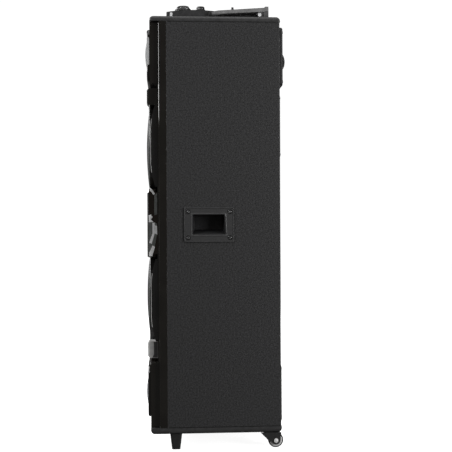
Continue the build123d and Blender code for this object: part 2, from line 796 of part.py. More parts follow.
with BuildPart() as mains_inlet:
    flange_y = (back_y + amp_plate, back_y + amp_plate + 3)
    block((inlet_x - 24, inlet_x + 24), flange_y, (inlet_z - 15, inlet_z + 15))
    fillet(mains_inlet.edges().filter_by(Axis.Y), radius=4)
    block((inlet_x - 14, inlet_x + 14), (back_y - 16, back_y + amp_plate), (inlet_z - 11, inlet_z + 11))
    cavity_y = (back_y - 13, back_y + amp_plate + 3)
    block((inlet_x - 12, inlet_x + 12), cavity_y, (inlet_z - 8.5, inlet_z + 8.5), Mode.SUBTRACT)
    for dx, dz in ((-7.0, -2.5), (0.0, 2.5), (7.0, -2.5)):
        pin_x = (inlet_x + dx - 1, inlet_x + dx + 1)
        pin_z = (inlet_z + dz - 2, inlet_z + dz + 2)
        block(pin_x, (back_y - 13, back_y + 2), pin_z)
finish(mains_inlet, "mains_inlet")

with BuildPart() as power_switch:
    with BuildSketch(Plane.YZ.offset(switch_x - switch_size[0] / 2)):
        with BuildLine():
            half = switch_size[1] / 2
            rocker_face = back_y + amp_plate + 1
            Polyline(
                (back_y - 2, inlet_z - half + 3.5),
                (rocker_face + 1.8, inlet_z - half),
                (rocker_face, inlet_z),
                (rocker_face + 1.8, inlet_z + half),
                (back_y - 2, inlet_z + half - 3.5),
                close=True,
            )
        make_face()
    extrude(amount=switch_size[0])
finish(power_switch, "power_switch")

with BuildPart() as amplifier_module:
    block((-150, 150), (back_y - board - 2, back_y - board), (amp_z[0] + 10, amp_z[0] + 22))
    block((-150, 20), (back_y - board - 60, back_y - board - 58), (250, 420))
    block((-140, -70), (back_y - board - 58, back_y - board - 20), (262, 320))
    with Locations((-20, back_y - board - 39, 380)):
        Cylinder(16, 38, rotation=(90, 0, 0))
    with Locations((90, back_y - 110, 76 + 32)):
        Cylinder(48, 60)
finish(amplifier_module, "amplifier_module")

# --- Feet and castors --------------------------------------------------------------------------
with BuildPart() as front_feet:
    for side in (-1, 1):
        with BuildSketch(Plane((side * foot_x, foot_y, 0))):
            RectangleRounded(23, 23, 5)
        with BuildSketch(Plane((side * foot_x, foot_y, cover_bottom))):
            RectangleRounded(33, 33, 7)
        loft()
finish(front_feet, "front_feet")

fork_outer = 197.0
fork_plate = 4.0
with BuildPart() as castor_brackets:
    for side in (-1, 1):
        wheel_half = wheel_width / 2
        outer_plate = (side * (fork_outer - fork_plate), side * fork_outer)
        inner_face = wheel_x - wheel_half - (fork_outer - fork_plate - wheel_x - wheel_half)
        inner_plate = (side * (inner_face - fork_plate), side * inner_face)
        for plate in (outer_plate, inner_plate):
            with BuildSketch(Plane.YZ.offset(min(plate))):
                with BuildLine():
                    Polyline(
                        (axle_y - 32.0, cover_bottom),
                        (axle_y - 26.0, 33.0),
                        (axle_y - 10.5, wheel_radius - 4.7),
                        (axle_y + 10.5, wheel_radius - 4.7),
                        (axle_y + 15.0, cover_bottom),
                        close=True,
                    )
                make_face()
                with Locations((axle_y, wheel_radius)):
                    Circle(11.5)
                    Circle(axle_radius, mode=Mode.SUBTRACT)
            extrude(amount=fork_plate)
        bridge_x = sorted((inner_plate[0], outer_plate[1]))
        block(bridge_x, (axle_y - 32, axle_y - 26), (35, cover_bottom))
finish(castor_brackets, "castor_brackets")

with BuildPart() as castor_axles:
    for side in (-1, 1):
        with BuildSketch(Plane.YZ.offset(side * 160.0)):
            with Locations((axle_y, wheel_radius)):
                Circle(axle_radius)
        extrude(amount=side * (fork_outer - 160.0))
        with BuildSketch(Plane.YZ.offset(side * fork_outer)):
            with Locations((axle_y, wheel_radius)):
                Circle(6)
        extrude(amount=side * 2)
finish(castor_axles, "castor_axles")

hub_radius = 15.5
for side, word in ((1, "right"), (-1, "left")):
    start_x = side * wheel_x - wheel_width / 2
    with BuildPart() as hub:
        with BuildSketch(Plane.YZ.offset(start_x)):
            with Locations((axle_y, wheel_radius)):
                Circle(hub_radius)
                Circle(axle_radius + 0.05, mode=Mode.SUBTRACT)
        extrude(amount=wheel_width)
    finish(hub, "castor_hub_" + word)
    with BuildPart() as tyre:
        with BuildSketch(Plane.YZ.offset(start_x)):
            with Locations((axle_y, wheel_radius)):
                Circle(wheel_radius)
                Circle(hub_radius, mode=Mode.SUBTRACT)
        extrude(amount=wheel_width)
        fillet(tyre.edges().filter_by(GeomType.CIRCLE).sort_by(SortBy.RADIUS)[-2:], radius=2)
    finish(tyre, "castor_tyre_" + word)

for name, solid in made:
    export_step(solid, f"parts/{name}.step")
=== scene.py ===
"""The looks of a party tower loudspeaker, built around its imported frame.
Metres, +Z up; the woofers face -Y and the object's right side faces +X."""
from math import asin, cos, hypot, pi, radians, sin, sqrt, tau

import bmesh
import bpy
from mathutils import Matrix, Vector


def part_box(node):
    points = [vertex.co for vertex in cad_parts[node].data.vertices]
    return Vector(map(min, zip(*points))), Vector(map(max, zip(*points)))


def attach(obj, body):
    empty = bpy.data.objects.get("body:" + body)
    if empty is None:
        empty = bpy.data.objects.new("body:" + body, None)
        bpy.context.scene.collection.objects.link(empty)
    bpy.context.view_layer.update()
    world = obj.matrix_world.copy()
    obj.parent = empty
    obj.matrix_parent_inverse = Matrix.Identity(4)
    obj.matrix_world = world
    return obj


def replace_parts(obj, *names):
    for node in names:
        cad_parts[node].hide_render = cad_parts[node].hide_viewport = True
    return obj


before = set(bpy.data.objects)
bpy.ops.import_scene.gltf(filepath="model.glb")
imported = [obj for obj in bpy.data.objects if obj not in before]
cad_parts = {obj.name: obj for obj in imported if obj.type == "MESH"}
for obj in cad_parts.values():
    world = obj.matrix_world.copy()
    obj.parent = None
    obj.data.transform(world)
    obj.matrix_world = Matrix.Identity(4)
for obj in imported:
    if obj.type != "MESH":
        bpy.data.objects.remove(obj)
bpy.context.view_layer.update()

MM = 0.001

# Places read from the frame
side_low, side_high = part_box("side_panel_right")
seam_y = side_low.y
back_y = side_high.y
side_x = side_high.x
WOOFERS = ("upper", "lower")
SIDES = ((1, "right"), (-1, "left"))


def middle_of(node):
    """The middle of a CAD node's box."""
    low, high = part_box(node)
    return (low + high) / 2


def in_mm(*points):
    """Points written in millimetres, as metres."""
    return [tuple(value * MM for value in point) for point in points]


# --- Stage: camera, floor and light ------------------------------------------------------------
def add_camera():
    distance, height = 2.478, 0.6160
    yaw, roll = radians(3.7), radians(0.27)
    data = bpy.data.cameras.new("camera")
    data.sensor_width = 36.0
    data.lens = 71.7
    camera = bpy.data.objects.new("camera", data)
    bpy.context.scene.collection.objects.link(camera)
    camera.location = (side_x + distance, seam_y + 0.0025, height)
    look = Vector((-cos(yaw), sin(yaw), 0.0)).to_track_quat("-Z", "Y").to_matrix()
    camera.rotation_euler = (look @ Matrix.Rotation(-roll, 3, "Z")).to_euler()
    bpy.context.scene.camera = camera


def add_softbox(name, place, target, width, height, power):
    """A soft rectangular lamp at a place, turned towards a target."""
    data = bpy.data.lights.new(name, "AREA")
    data.shape = "RECTANGLE"
    data.size = width
    data.size_y = height
    data.energy = power
    lamp = bpy.data.objects.new(name, data)
    bpy.context.scene.collection.objects.link(lamp)
    lamp.location = place
    lamp.rotation_euler = (Vector(target) - Vector(place)).to_track_quat("-Z", "Y").to_euler()


def add_world():
    """White behind the object, but only a dim grey room in its reflections."""
    world = bpy.data.worlds.new("studio")
    bpy.context.scene.world = world
    world.use_nodes = True
    nodes, links = world.node_tree.nodes, world.node_tree.links
    room = nodes["Background"]
    room.inputs["Color"].default_value = (0.9, 0.88, 0.86, 1)
    room.inputs["Strength"].default_value = 0.1
    backdrop = nodes.new("ShaderNodeBackground")
    backdrop.inputs["Color"].default_value = (1, 1, 1, 1)
    backdrop.inputs["Strength"].default_value = 1.05
    path = nodes.new("ShaderNodeLightPath")
    choose = nodes.new("ShaderNodeMixShader")
    links.new(path.outputs["Is Camera Ray"], choose.inputs[0])
    links.new(room.outputs[0], choose.inputs[1])
    links.new(backdrop.outputs[0], choose.inputs[2])
    links.new(choose.outputs[0], nodes["World Output"].inputs["Surface"])


# --- Materials ---------------------------------------------------------------------------------
class Paint:
    """One Principled material. Patterns follow the piece's own coordinates, sizes are in metres."""

    def __init__(self, name, colour, roughness, **numbers):
        self.material = bpy.data.materials.new(name)
        self.material.use_nodes = True
        self.nodes = self.material.node_tree.nodes
        self.links = self.material.node_tree.links
        self.shader = self.nodes["Principled BSDF"]
        self.shader.inputs["Base Color"].default_value = (*colour, 1.0)
        self.shader.inputs["Roughness"].default_value = roughness
        for socket, value in numbers.items():
            self.shader.inputs[socket.replace("_", " ")].default_value = value
        self.place = self.nodes.new("ShaderNodeTexCoord").outputs["Object"]
        self.normal = None

    def stretched(self, stretch):
        mapping = self.nodes.new("ShaderNodeMapping")
        mapping.inputs["Scale"].default_value = stretch
        self.links.new(self.place, mapping.inputs["Vector"])
        return mapping.outputs["Vector"]

    def noise(self, size, detail, stretch=(1, 1, 1)):
        node = self.nodes.new("ShaderNodeTexNoise")
        node.inputs["Scale"].default_value = 1 / size
        node.inputs["Detail"].default_value = detail
        self.links.new(self.stretched(stretch), node.inputs["Vector"])
        return node.outputs["Fac"]

    def cells(self, size, feature="F1"):
        node = self.nodes.new("ShaderNodeTexVoronoi")
        node.feature = feature
        node.inputs["Scale"].default_value = 1 / size
        self.links.new(self.place, node.inputs["Vector"])
        return node.outputs["Distance"]

    def rings(self, size, centre):
        """Concentric rings round an axis along Y through a centre."""
        mapping = self.nodes.new("ShaderNodeMapping")
        mapping.inputs["Location"].default_value = [-value for value in centre]
        self.links.new(self.place, mapping.inputs["Vector"])
        node = self.nodes.new("ShaderNodeTexWave")
        node.wave_type = "RINGS"
        node.rings_direction = "Y"
        node.inputs["Scale"].default_value = 1 / (size * 3.2)
        self.links.new(mapping.outputs["Vector"], node.inputs["Vector"])
        return node.outputs["Fac"]

    def span(self, source, low, high, start, end):
        """Maps low..high of a pattern to start..end."""
        node = self.nodes.new("ShaderNodeMapRange")
        for socket, value in zip(("From Min", "From Max", "To Min", "To Max"), (low, high, start, end)):
            node.inputs[socket].default_value = value
        self.links.new(source, node.inputs["Value"])
        return node.outputs["Result"]

    def tint(self, source, dark, light, low=0.35, high=0.65):
        """Colours the surface between two colours."""
        mix = self.nodes.new("ShaderNodeMix")
        mix.data_type = "RGBA"
        mix.inputs["A"].default_value = (*dark, 1.0)
        mix.inputs["B"].default_value = (*light, 1.0)
        self.links.new(self.span(source, low, high, 0.0, 1.0), mix.inputs["Factor"])
        self.links.new(mix.outputs["Result"], self.shader.inputs["Base Color"])
        return self

    def paint_shade_inward(self, start, end):
        """Paints shade into the colour from a distance off the middle plane inwards: a pocket darker the
        deeper it goes.
        """
        split = self.nodes.new("ShaderNodeSeparateXYZ")
        self.links.new(self.place, split.inputs[0])
        size = self.nodes.new("ShaderNodeMath")
        size.operation = "ABSOLUTE"
        self.links.new(split.outputs["X"], size.inputs[0])
        mix = self.nodes.new("ShaderNodeMix")
        mix.data_type = "RGBA"
        mix.inputs["B"].default_value = (0.004, 0.004, 0.0055, 1.0)
        base = self.shader.inputs["Base Color"].links[0].from_socket
        self.links.new(base, mix.inputs["A"])
        self.links.new(self.span(size.outputs[0], start, end, 0.0, 0.9), mix.inputs["Factor"])
        self.links.new(mix.outputs["Result"], self.shader.inputs["Base Color"])

    def shine(self, source, smooth, rough):
        """Varies the roughness between two values."""
        self.links.new(self.span(source, 0.3, 0.7, smooth, rough), self.shader.inputs["Roughness"])
        return self

    def relief(self, source, depth, strength):
        """Adds a bump of a given depth on top of the ones before it."""
        node = self.nodes.new("ShaderNodeBump")
        node.inputs["Distance"].default_value = depth
        node.inputs["Strength"].default_value = strength
        self.links.new(source, node.inputs["Height"])
        if self.normal:
            self.links.new(self.normal, node.inputs["Normal"])
        self.normal = node.outputs["Normal"]
        self.links.new(self.normal, self.shader.inputs["Normal"])
        return self

    def soft_edges(self, radius):
        """Rounds the shading over sharp edges, before any relief."""
        node = self.nodes.new("ShaderNodeBevel")
        node.samples = 4
        node.inputs["Radius"].default_value = radius
        self.normal = node.outputs["Normal"]
        self.links.new(self.normal, self.shader.inputs["Normal"])
        return self


def scaled(colour, factor):
    return [value * factor for value in colour]


def vinyl():
    """Pebbled black vinyl that wraps the cabinet."""
    paint = Paint("vinyl", (0.03, 0.03, 0.031), 0.5)
    pebbles = paint.cells(1.5 * MM, "SMOOTH_F1")
    paint.tint(paint.noise(4 * MM, 6.0), (0.023, 0.023, 0.0238), (0.059, 0.059, 0.0607), 0.36, 0.68)
    paint.shine(paint.noise(5 * MM, 4.0), 0.34, 0.62)
    paint.relief(paint.noise(0.09, 2.0), 0.5 * MM, 0.3)
    return paint.relief(pebbles, 0.4 * MM, 0.9).material


def moulded(name, colour, roughness, edge=0.8 * MM):
    """Satin moulded plastic with a fine spark-eroded grain."""
    paint = Paint(name, colour, roughness).soft_edges(edge)
    paint.tint(paint.noise(12 * MM, 5.0), scaled(colour, 0.86), scaled(colour, 1.18))
    paint.shine(paint.noise(25 * MM, 4.0), roughness - 0.06, roughness + 0.08)
    return paint.relief(paint.noise(0.5 * MM, 3.0), 0.05 * MM, 0.7).material


def grained(name, colour, size=1.4 * MM, pocket_shade=None):
    """Leather-grained black plastic."""
    paint = Paint(name, colour, 0.5).soft_edges(0.8 * MM)
    paint.tint(paint.cells(size, "DISTANCE_TO_EDGE"), colour, scaled(colour, 1.5), 0.0, 0.35)
    # Painted shade: the colour darkens towards the middle plane, darkest deep in the pocket.
    if pocket_shade:
        paint.paint_shade_inward(*pocket_shade)
    paint.shine(paint.noise(8 * MM, 4.0), 0.42, 0.58)
    paint.relief(paint.cells(size, "DISTANCE_TO_EDGE"), 0.22 * MM, 0.8)
    return paint.relief(paint.noise(0.5 * MM, 3.0), 0.04 * MM, 0.6).material


def polished(name, colour, roughness=0.07):
    """Glossy moulded plastic with a faint orange peel and handling marks."""
    paint = Paint(name, colour, roughness, Coat_Weight=0.5, Coat_Roughness=0.03).soft_edges(0.7 * MM)
    light = [value * 1.3 + 0.001 for value in colour]
    paint.tint(paint.noise(60 * MM, 4.0), colour, light)
    paint.shine(paint.noise(60 * MM, 4.0), roughness * 0.85, roughness * 1.3)
    return paint.relief(paint.noise(9 * MM, 2.0), 0.01 * MM, 0.25).material


def plated(name, colour=(0.78, 0.79, 0.8), roughness=0.08):
    """Bright plating with a soft haze."""
    paint = Paint(name, colour, roughness, Metallic=1.0).soft_edges(0.6 * MM)
    paint.tint(paint.noise(30 * MM, 4.0), scaled(colour, 0.9), colour)
    paint.shine(paint.noise(18 * MM, 5.0), roughness * 0.5, roughness * 1.8)
    return paint.relief(paint.noise(9 * MM, 2.0), 0.02 * MM, 0.3).material


def metal(name, colour, roughness, brushed=(1, 1, 14)):
    """Brushed or turned metal."""
    paint = Paint(name, colour, roughness, Metallic=1.0).soft_edges(0.4 * MM)
    paint.tint(paint.noise(2 * MM, 5.0, stretch=brushed), scaled(colour, 0.75), colour)
    paint.shine(paint.noise(1.5 * MM, 4.0, stretch=brushed), roughness * 0.7, roughness * 1.3)
    return paint.relief(paint.noise(0.8 * MM, 3.0, stretch=brushed), 0.02 * MM, 0.4).material


def powder_coat(name, colour, roughness):
    """Powder-coated sheet metal with its fine orange peel."""
    paint = Paint(name, colour, roughness).soft_edges(0.5 * MM)
    paint.tint(paint.noise(4 * MM, 5.0), colour, scaled(colour, 1.3))
    paint.shine(paint.noise(10 * MM, 4.0), roughness - 0.08, roughness + 0.1)
    return paint.relief(paint.cells(0.9 * MM, "SMOOTH_F1"), 0.05 * MM, 0.6).material


def fibreboard():
    paint = Paint("fibreboard", (0.38, 0.27, 0.17), 0.75).soft_edges(0.5 * MM)
    paint.tint(paint.noise(1.5 * MM, 8.0), (0.3, 0.21, 0.13), (0.46, 0.34, 0.22))
    return paint.relief(paint.noise(0.7 * MM, 5.0), 0.1 * MM, 0.5).material


def paper_cone(centre):
    """Pressed paper with fibres and shallow rings round the cone's axis."""
    paint = Paint("paper_cone", (0.03, 0.03, 0.03), 0.7)
    paint.tint(paint.noise(3 * MM, 8.0, stretch=(1, 1, 3)), (0.018, 0.018, 0.019), (0.05, 0.048, 0.046))
    paint.relief(paint.rings(9 * MM, centre), 0.5 * MM, 0.5)
    return paint.relief(paint.noise(1.2 * MM, 6.0), 0.12 * MM, 0.6).material


def rubber(name, colour=(0.018, 0.018, 0.018), roughness=0.62):
    paint = Paint(name, colour, roughness).soft_edges(0.5 * MM)
    paint.tint(paint.noise(6 * MM, 6.0), colour, scaled(colour, 2.0))
    paint.shine(paint.noise(5 * MM, 4.0), roughness - 0.1, roughness + 0.1)
    return paint.relief(paint.noise(0.6 * MM, 4.0), 0.05 * MM, 0.6).material


def light_bar():
    """Milky light bar, frosted and partly translucent."""
    paint = Paint("light_bar", (0.82, 0.85, 0.88), 0.16, Transmission_Weight=0.25, IOR=1.49)
    paint.soft_edges(0.6 * MM)
    paint.tint(paint.noise(6 * MM, 4.0), (0.74, 0.78, 0.82), (0.9, 0.92, 0.94))
    paint.shine(paint.noise(4 * MM, 4.0), 0.1, 0.26)
    return paint.relief(paint.noise(1.5 * MM, 2.0, stretch=(1, 1, 0.15)), 0.06 * MM, 0.5).material


def screen():
    """Dark display window."""
    paint = Paint("screen", (0.006, 0.007, 0.01), 0.05, Coat_Weight=1.0, Coat_Roughness=0.02)
    paint.soft_edges(0.4 * MM)
    paint.tint(paint.noise(20 * MM, 3.0), (0.004, 0.005, 0.007), (0.011, 0.012, 0.016))
    return paint.shine(paint.noise(15 * MM, 5.0), 0.03, 0.12).material


def circuit():
    paint = Paint("circuit", (0.02, 0.12, 0.06), 0.4)
    paint.tint(paint.cells(4 * MM), (0.01, 0.07, 0.035), (0.03, 0.16, 0.08), 0.2, 0.8)
    return paint.relief(paint.cells(3 * MM), 0.1 * MM, 0.5).material


def dress(material, *nodes):
    """Gives carried-over CAD nodes a material."""
    for name in nodes:
        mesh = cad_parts[name].data
        mesh.materials.clear()
        mesh.materials.append(material)


VINYL = vinyl()
COVER = moulded("cover_plastic", (0.05, 0.05, 0.051), 0.4)
GLOSS = polished("gloss_black", (0.0106, 0.0095, 0.0078))
BEZEL = polished("bezel_black", (0.0105, 0.01, 0.0095), 0.27)
# The side handles carry painted shade inside their pockets.
HANDLE = grained("handle_plastic", (0.042, 0.042, 0.043), pocket_shade=(0.2, 0.16))
# Painted highlight: a lighter copy of the handle plastic for the raised edges.
HANDLE_EDGE_HIGHLIGHT = moulded("handle_edge_painted_highlight", (0.075, 0.075, 0.077), 0.35)
GRIP = grained("grip_plastic", (0.03, 0.03, 0.031))
FOOT = grained("foot_plastic", (0.02, 0.02, 0.02), 1.1 * MM)
CHROME = plated("chrome_trim")
# Painted highlight: light silver on the lower corner trims and the bezel edge lines.
SILVER_PAINTED_HIGHLIGHT = moulded("silver_trim", (0.5, 0.5, 0.495), 0.3)
BOARD = fibreboard()
GUARD = powder_coat("grille_coat", (0.03, 0.03, 0.031), 0.38)
PLATE = powder_coat("back_plate", (0.025, 0.025, 0.026), 0.45)
HEAT_SINK = metal("heat_sink", (0.13, 0.13, 0.132), 0.45)
STEEL = metal("bright_steel", (0.55, 0.55, 0.56), 0.3)
BLACK_STEEL = metal("black_steel", (0.09, 0.09, 0.092), 0.35)
SCREW = metal("screw_zinc", (0.24, 0.24, 0.245), 0.28)
SEAT = moulded("screw_seat", (0.008, 0.008, 0.008), 0.5)
MAGNET = metal("magnet_plate", (0.22, 0.22, 0.23), 0.45)
HORN = moulded("horn_plastic", (0.02, 0.02, 0.02), 0.45)
CONSOLE = moulded("console_plastic", (0.045, 0.045, 0.046), 0.4)
KNOB = moulded("knob_plastic", (0.03, 0.03, 0.03), 0.35)
BUTTON = polished("button_plastic", (0.06, 0.06, 0.062), 0.2)
TRAY = moulded("tray_plastic", (0.11, 0.11, 0.11), 0.38)
ROLL = rubber("surround_roll")
TYRE = rubber("tyre_rubber", (0.014, 0.014, 0.014), 0.58)
HUB = moulded("hub_plastic", (0.95, 0.95, 0.95), 0.35)
LIGHT_BAR = light_bar()
SCREEN = screen()
CIRCUIT = circuit()

dress(VINYL, "side_panel_right", "side_panel_left", "rear_board")
dress(COVER, "top_cover", "bottom_cover")
dress(GLOSS, "front_fascia", "horn_bezel", "port_bezel")
dress(BEZEL, "woofer_bezel_upper", "woofer_bezel_lower")
dress(GLOSS, "corner_trim_upper")
# Painted highlight: the lower corner trims are silver while the upper ones stay gloss black.
dress(SILVER_PAINTED_HIGHLIGHT, "corner_trim_lower")
dress(HANDLE, "side_handle_right", "side_handle_left")
dress(GRIP, "rear_handle_frame", "rear_handle_grip")
dress(BOARD, "top_board", "bottom_board", "front_baffle")
dress(HORN, "tweeter_horn", "port_tube")
dress(CONSOLE, "control_console")
dress(SCREEN, "display_window")
dress(KNOB, "dial_right", "dial_left", "knob_volume", "knob_microphone", "knob_tone")
dress(BUTTON, "button_back", "button_play", "button_next", "power_switch")
dress(TRAY, "tablet_tray")
dress(KNOB, "tray_pins")
dress(STEEL, "io_jacks")
dress(PLATE, "io_panel", "mains_inlet")
dress(HEAT_SINK, "amplifier_plate")
dress(CIRCUIT, "amplifier_module")
dress(MAGNET, "woofer_magnet_upper", "woofer_magnet_lower", "horn_driver")
dress(BLACK_STEEL, "woofer_basket_upper", "woofer_basket_lower")
dress(ROLL, "woofer_surround_upper", "woofer_surround_lower")
dress(FOOT, "front_feet", "castor_brackets")
dress(HUB, "castor_axles", "castor_hub_right", "castor_hub_left")
dress(TYRE, "castor_tyre_right", "castor_tyre_left")
dress(LIGHT_BAR, "light_lenses")
for word in WOOFERS:
    dress(paper_cone(middle_of("woofer_cone_" + word)), "woofer_cone_" + word)


# --- Mesh helpers ------------------------------------------------------------------------------
def piece(name, shape, material, body="cabinet", smooth=True):
    """Turns a bmesh into a piece that rides on a body."""
    mesh = bpy.data.meshes.new(name)
    bmesh.ops.recalc_face_normals(shape, faces=shape.faces)
    shape.to_mesh(mesh)
    shape.free()
    for polygon in mesh.polygons:
        polygon.use_smooth = smooth
    made = bpy.data.objects.new(name, mesh)
    bpy.context.scene.collection.objects.link(made)
    mesh.materials.append(material)
    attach(made, body)
    return made


def lay_out(place, normal):
    """The matrix that puts local +Z along a normal at a place."""
    turn = Vector(normal).to_track_quat("Z", "Y").to_matrix().to_4x4()
    return Matrix.Translation(place) @ turn


def lathe(shape, outline, place, normal, steps=48):
    """Adds a surface turned from (radius, height) points about a normal."""
    matrix = lay_out(place, normal)
    rows = []
    for radius, height in outline:
        if radius < 1e-7:
            rows.append([shape.verts.new(matrix @ Vector((0, 0, height)))] * steps)
            continue
        angles = [tau * step / steps for step in range(steps)]
        spots = [Vector((radius * cos(a), radius * sin(a), height)) for a in angles]
        rows.append([shape.verts.new(matrix @ spot) for spot in spots])
    for lower, upper in zip(rows, rows[1:]):
        for step in range(steps):
            after = (step + 1) % steps
            corners = [lower[step], lower[after], upper[after], upper[step]]
            unique = list(dict.fromkeys(corners))
            if len(unique) > 2:
                shape.faces.new(unique)


def band(shape, loops):
    """Joins closed loops of points, each to the next."""
    count = len(loops[0])
    for outer, inner in zip(loops, loops[1:]):
        for step in range(count):
            after = (step + 1) % count
            shape.faces.new((outer[step], outer[after], inner[after], inner[step]))


def screw_head(shape, place, normal, radius, turn):
    """A domed head with a cross recess."""
    matrix = lay_out(place, normal) @ Matrix.Rotation(turn, 4, "Z")
    rim = 24
    rise = 0.42 * radius
    rows = []
    for share, height in ((1.0, 0.0), (1.0, 0.35), (0.93, 0.7), (0.78, 0.95), (0.62, 1.0)):
        row = []
        for step in range(rim):
            angle = tau * step / rim
            spot = Vector((share * radius * cos(angle), share * radius * sin(angle), height * rise))
            row.append(shape.verts.new(matrix @ spot))
        rows.append(row)
    band(shape, rows)
    arm, half = 0.52 * radius, 0.12 * radius
    quarter = [Vector((arm, -half, 0)), Vector((arm, half, 0)), Vector((half, half, 0))]
    cross = []
    for step in range(4):
        spin = Matrix.Rotation(step * pi / 2, 3, "Z")
        cross += [spin @ spot for spot in quarter]
    top = [shape.verts.new(matrix @ (spot + Vector((0, 0, rise)))) for spot in cross]
    pit = [shape.verts.new(matrix @ (spot * 0.8 + Vector((0, 0, 0.2 * rise)))) for spot in cross]
    for step in range(12):
        after = (step + 1) % 12
        shape.faces.new((top[step], top[after], pit[after], pit[step]))
        outer = rows[-1]
        first, middle, last = (2 * step - 1) % rim, (2 * step) % rim, (2 * step + 1) % rim
        shape.faces.new((outer[first], outer[middle], outer[last], top[after], top[step]))
    shape.faces.new(pit)


def screws(name, places, normal, radius, material):
    shape = bmesh.new()
    for index, place in enumerate(places):
        screw_head(shape, place, normal, radius, turn=0.9 * index)
    return piece(name, shape, material)


# --- Perforated woofer guards ------------------------------------------------------------------
def perforated_guard(word):
    """A domed steel sheet with a close pattern of round holes, folded into a flat rim."""
    node = "woofer_grille_" + word
    low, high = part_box(node)
    centre = (low + high) / 2
    rim_radius = (high.x - low.x) / 2
    dome_radius = rim_radius - 6 * MM
    sheet = 1.2 * MM
    rise = (high.y - low.y) - 1.4 * MM
    pitch, hole = 5.4 * MM, 1.95 * MM
    facets = 12
    shape = bmesh.new()
    shared = {}

    def surface_y(radius):
        return high.y - 1.4 * MM - rise * (1 - (radius / dome_radius) ** 2)

    def spot(x, z):
        key = (round(x / (0.02 * MM)), round(z / (0.02 * MM)))
        if key not in shared:
            place = (centre.x + x, surface_y(min(hypot(x, z), dome_radius)), centre.z + z)
            shared[key] = shape.verts.new(place)
        return shared[key]

    reach = dome_radius - 3 * MM
    columns = int(reach / pitch) + 1
    row_step = pitch * sqrt(3) / 2
    rows = int(reach / row_step) + 1
    corner = pitch / sqrt(3)
    for row in range(-rows, rows + 1):
        for column in range(-columns - 1, columns + 1):
            x = (column + 0.5 * (row % 2)) * pitch
            z = row * row_step
            if hypot(x, z) > reach:
                continue
            outer, inner = [], []
            for step in range(facets):
                angle = tau * step / facets + pi / 6
                far = corner if step % 2 == 0 else corner * cos(pi / 6)
                outer.append(spot(x + far * cos(angle), z + far * sin(angle)))
                inner_place = (x + hole * cos(angle), z + hole * sin(angle))
                y = surface_y(min(hypot(*inner_place), dome_radius))
                place = (centre.x + inner_place[0], y, centre.z + inner_place[1])
                inner.append(shape.verts.new(place))
            band(shape, (outer, inner))
    guard = piece("guard_sheet_" + word, shape, GUARD)
    thickness = guard.modifiers.new("sheet", "SOLIDIFY")
    thickness.thickness = sheet
    thickness.offset = 0.0
    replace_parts(guard, node)
    rim = bmesh.new()
    outline = (
        (dome_radius - 5 * MM, surface_y(dome_radius - 5 * MM) - 1.2 * MM),
        (dome_radius - 5 * MM, surface_y(dome_radius - 5 * MM) + 0.8 * MM),
        (rim_radius, high.y),
        (rim_radius, high.y - 1.6 * MM),
        (rim_radius - 1.5 * MM, high.y - 2.6 * MM),
        (dome_radius, high.y - 3.4 * MM),
        (dome_radius - 5 * MM, surface_y(dome_radius - 5 * MM) - 1.2 * MM),
    )
    turned = [(radius, centre.y - y) for radius, y in outline]
    lathe(rim, turned, centre, (0, -1, 0), steps=128)
    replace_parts(piece("guard_rim_" + word, rim, GUARD), node)


for word in WOOFERS:
    perforated_guard(word)


# --- Flat shapes -------------------------------------------------------------------------------
def prism(shape, outline, corner):
    """A flat prism; corner(u, v, top) places a point of the outline on its lower or upper face."""
    bottom = [shape.verts.new(corner(u, v, False)) for u, v in outline]
    top = [shape.verts.new(corner(u, v, True)) for u, v in outline]
    shape.faces.new(bottom)
    shape.faces.new(top)
    band(shape, (bottom, top))


def chamfered(made, width):
    """Breaks the sharp edges of a flat-faced piece."""
    bevel = made.modifiers.new("edges", "BEVEL")
    bevel.width = width
    bevel.segments = 2
    bevel.limit_method = "ANGLE"
    return made


def rectangle(u, v, width, height):
    return ((u - width / 2, v - height / 2), (u + width / 2, v - height / 2),
            (u + width / 2, v + height / 2), (u - width / 2, v + height / 2))


def rounded(u, v, width, height, radius, steps=5):
    """A rectangle with rounded corners, as a list of points."""
    points = []
    for quarter in range(4):
        side_u, side_v = ((1, 1), (-1, 1), (-1, -1), (1, -1))[quarter]
        centre_u = u + side_u * (width / 2 - radius)
        centre_v = v + side_v * (height / 2 - radius)
        for step in range(steps + 1):
            angle = (quarter + step / steps) * pi / 2
            points.append((centre_u + radius * cos(angle), centre_v + radius * sin(angle)))
    return points


def on_side(side, x, thickness):
    """Outlines in (depth in front of the seam, height), laid on an upright face towards +X or -X."""
    return lambda d, z, top: Vector((side * (x + (thickness if top else 0.0)), seam_y - d, z))


def on_front(depth, thickness):
    """Outlines in (x, z), laid on the front a given depth before the seam."""
    return lambda x, z, top: Vector((x, seam_y - depth - (thickness if top else 0.0), z))


def on_back(depth, thickness):
    """Outlines in (x, z), laid on the back a given depth behind it."""
    return lambda x, z, top: Vector((x, back_y + depth + (thickness if top else 0.0), z))


def on_top(height, thickness):
    """Outlines in (x, y), laid on a level face."""
    return lambda x, y, top: Vector((x, y, height + (thickness if top else 0.0)))


def flat_piece(name, outlines, place, material, body="cabinet", edge=0.3 * MM):
    shape = bmesh.new()
    for outline in outlines:
        prism(shape, outline, place)
    return chamfered(piece(name, shape, material, body, smooth=False), edge)


def cut_corners(corners, inset, cut):
    """Four corners, drawn in by an inset and each cut off by two points."""
    points = []
    for index, (u, v) in enumerate(corners):
        before = Vector(corners[index - 1]) - Vector((u, v))
        after = Vector(corners[(index + 1) % 4]) - Vector((u, v))
        spot = Vector((u - (inset if u > 0 else -inset), v - (inset if v > 0 else -inset)))
        points.append(spot + before.normalized() * cut)
        points.append(spot + (before.normalized() + after.normalized()) * cut * 0.29)
        points.append(spot + after.normalized() * cut)
    return points


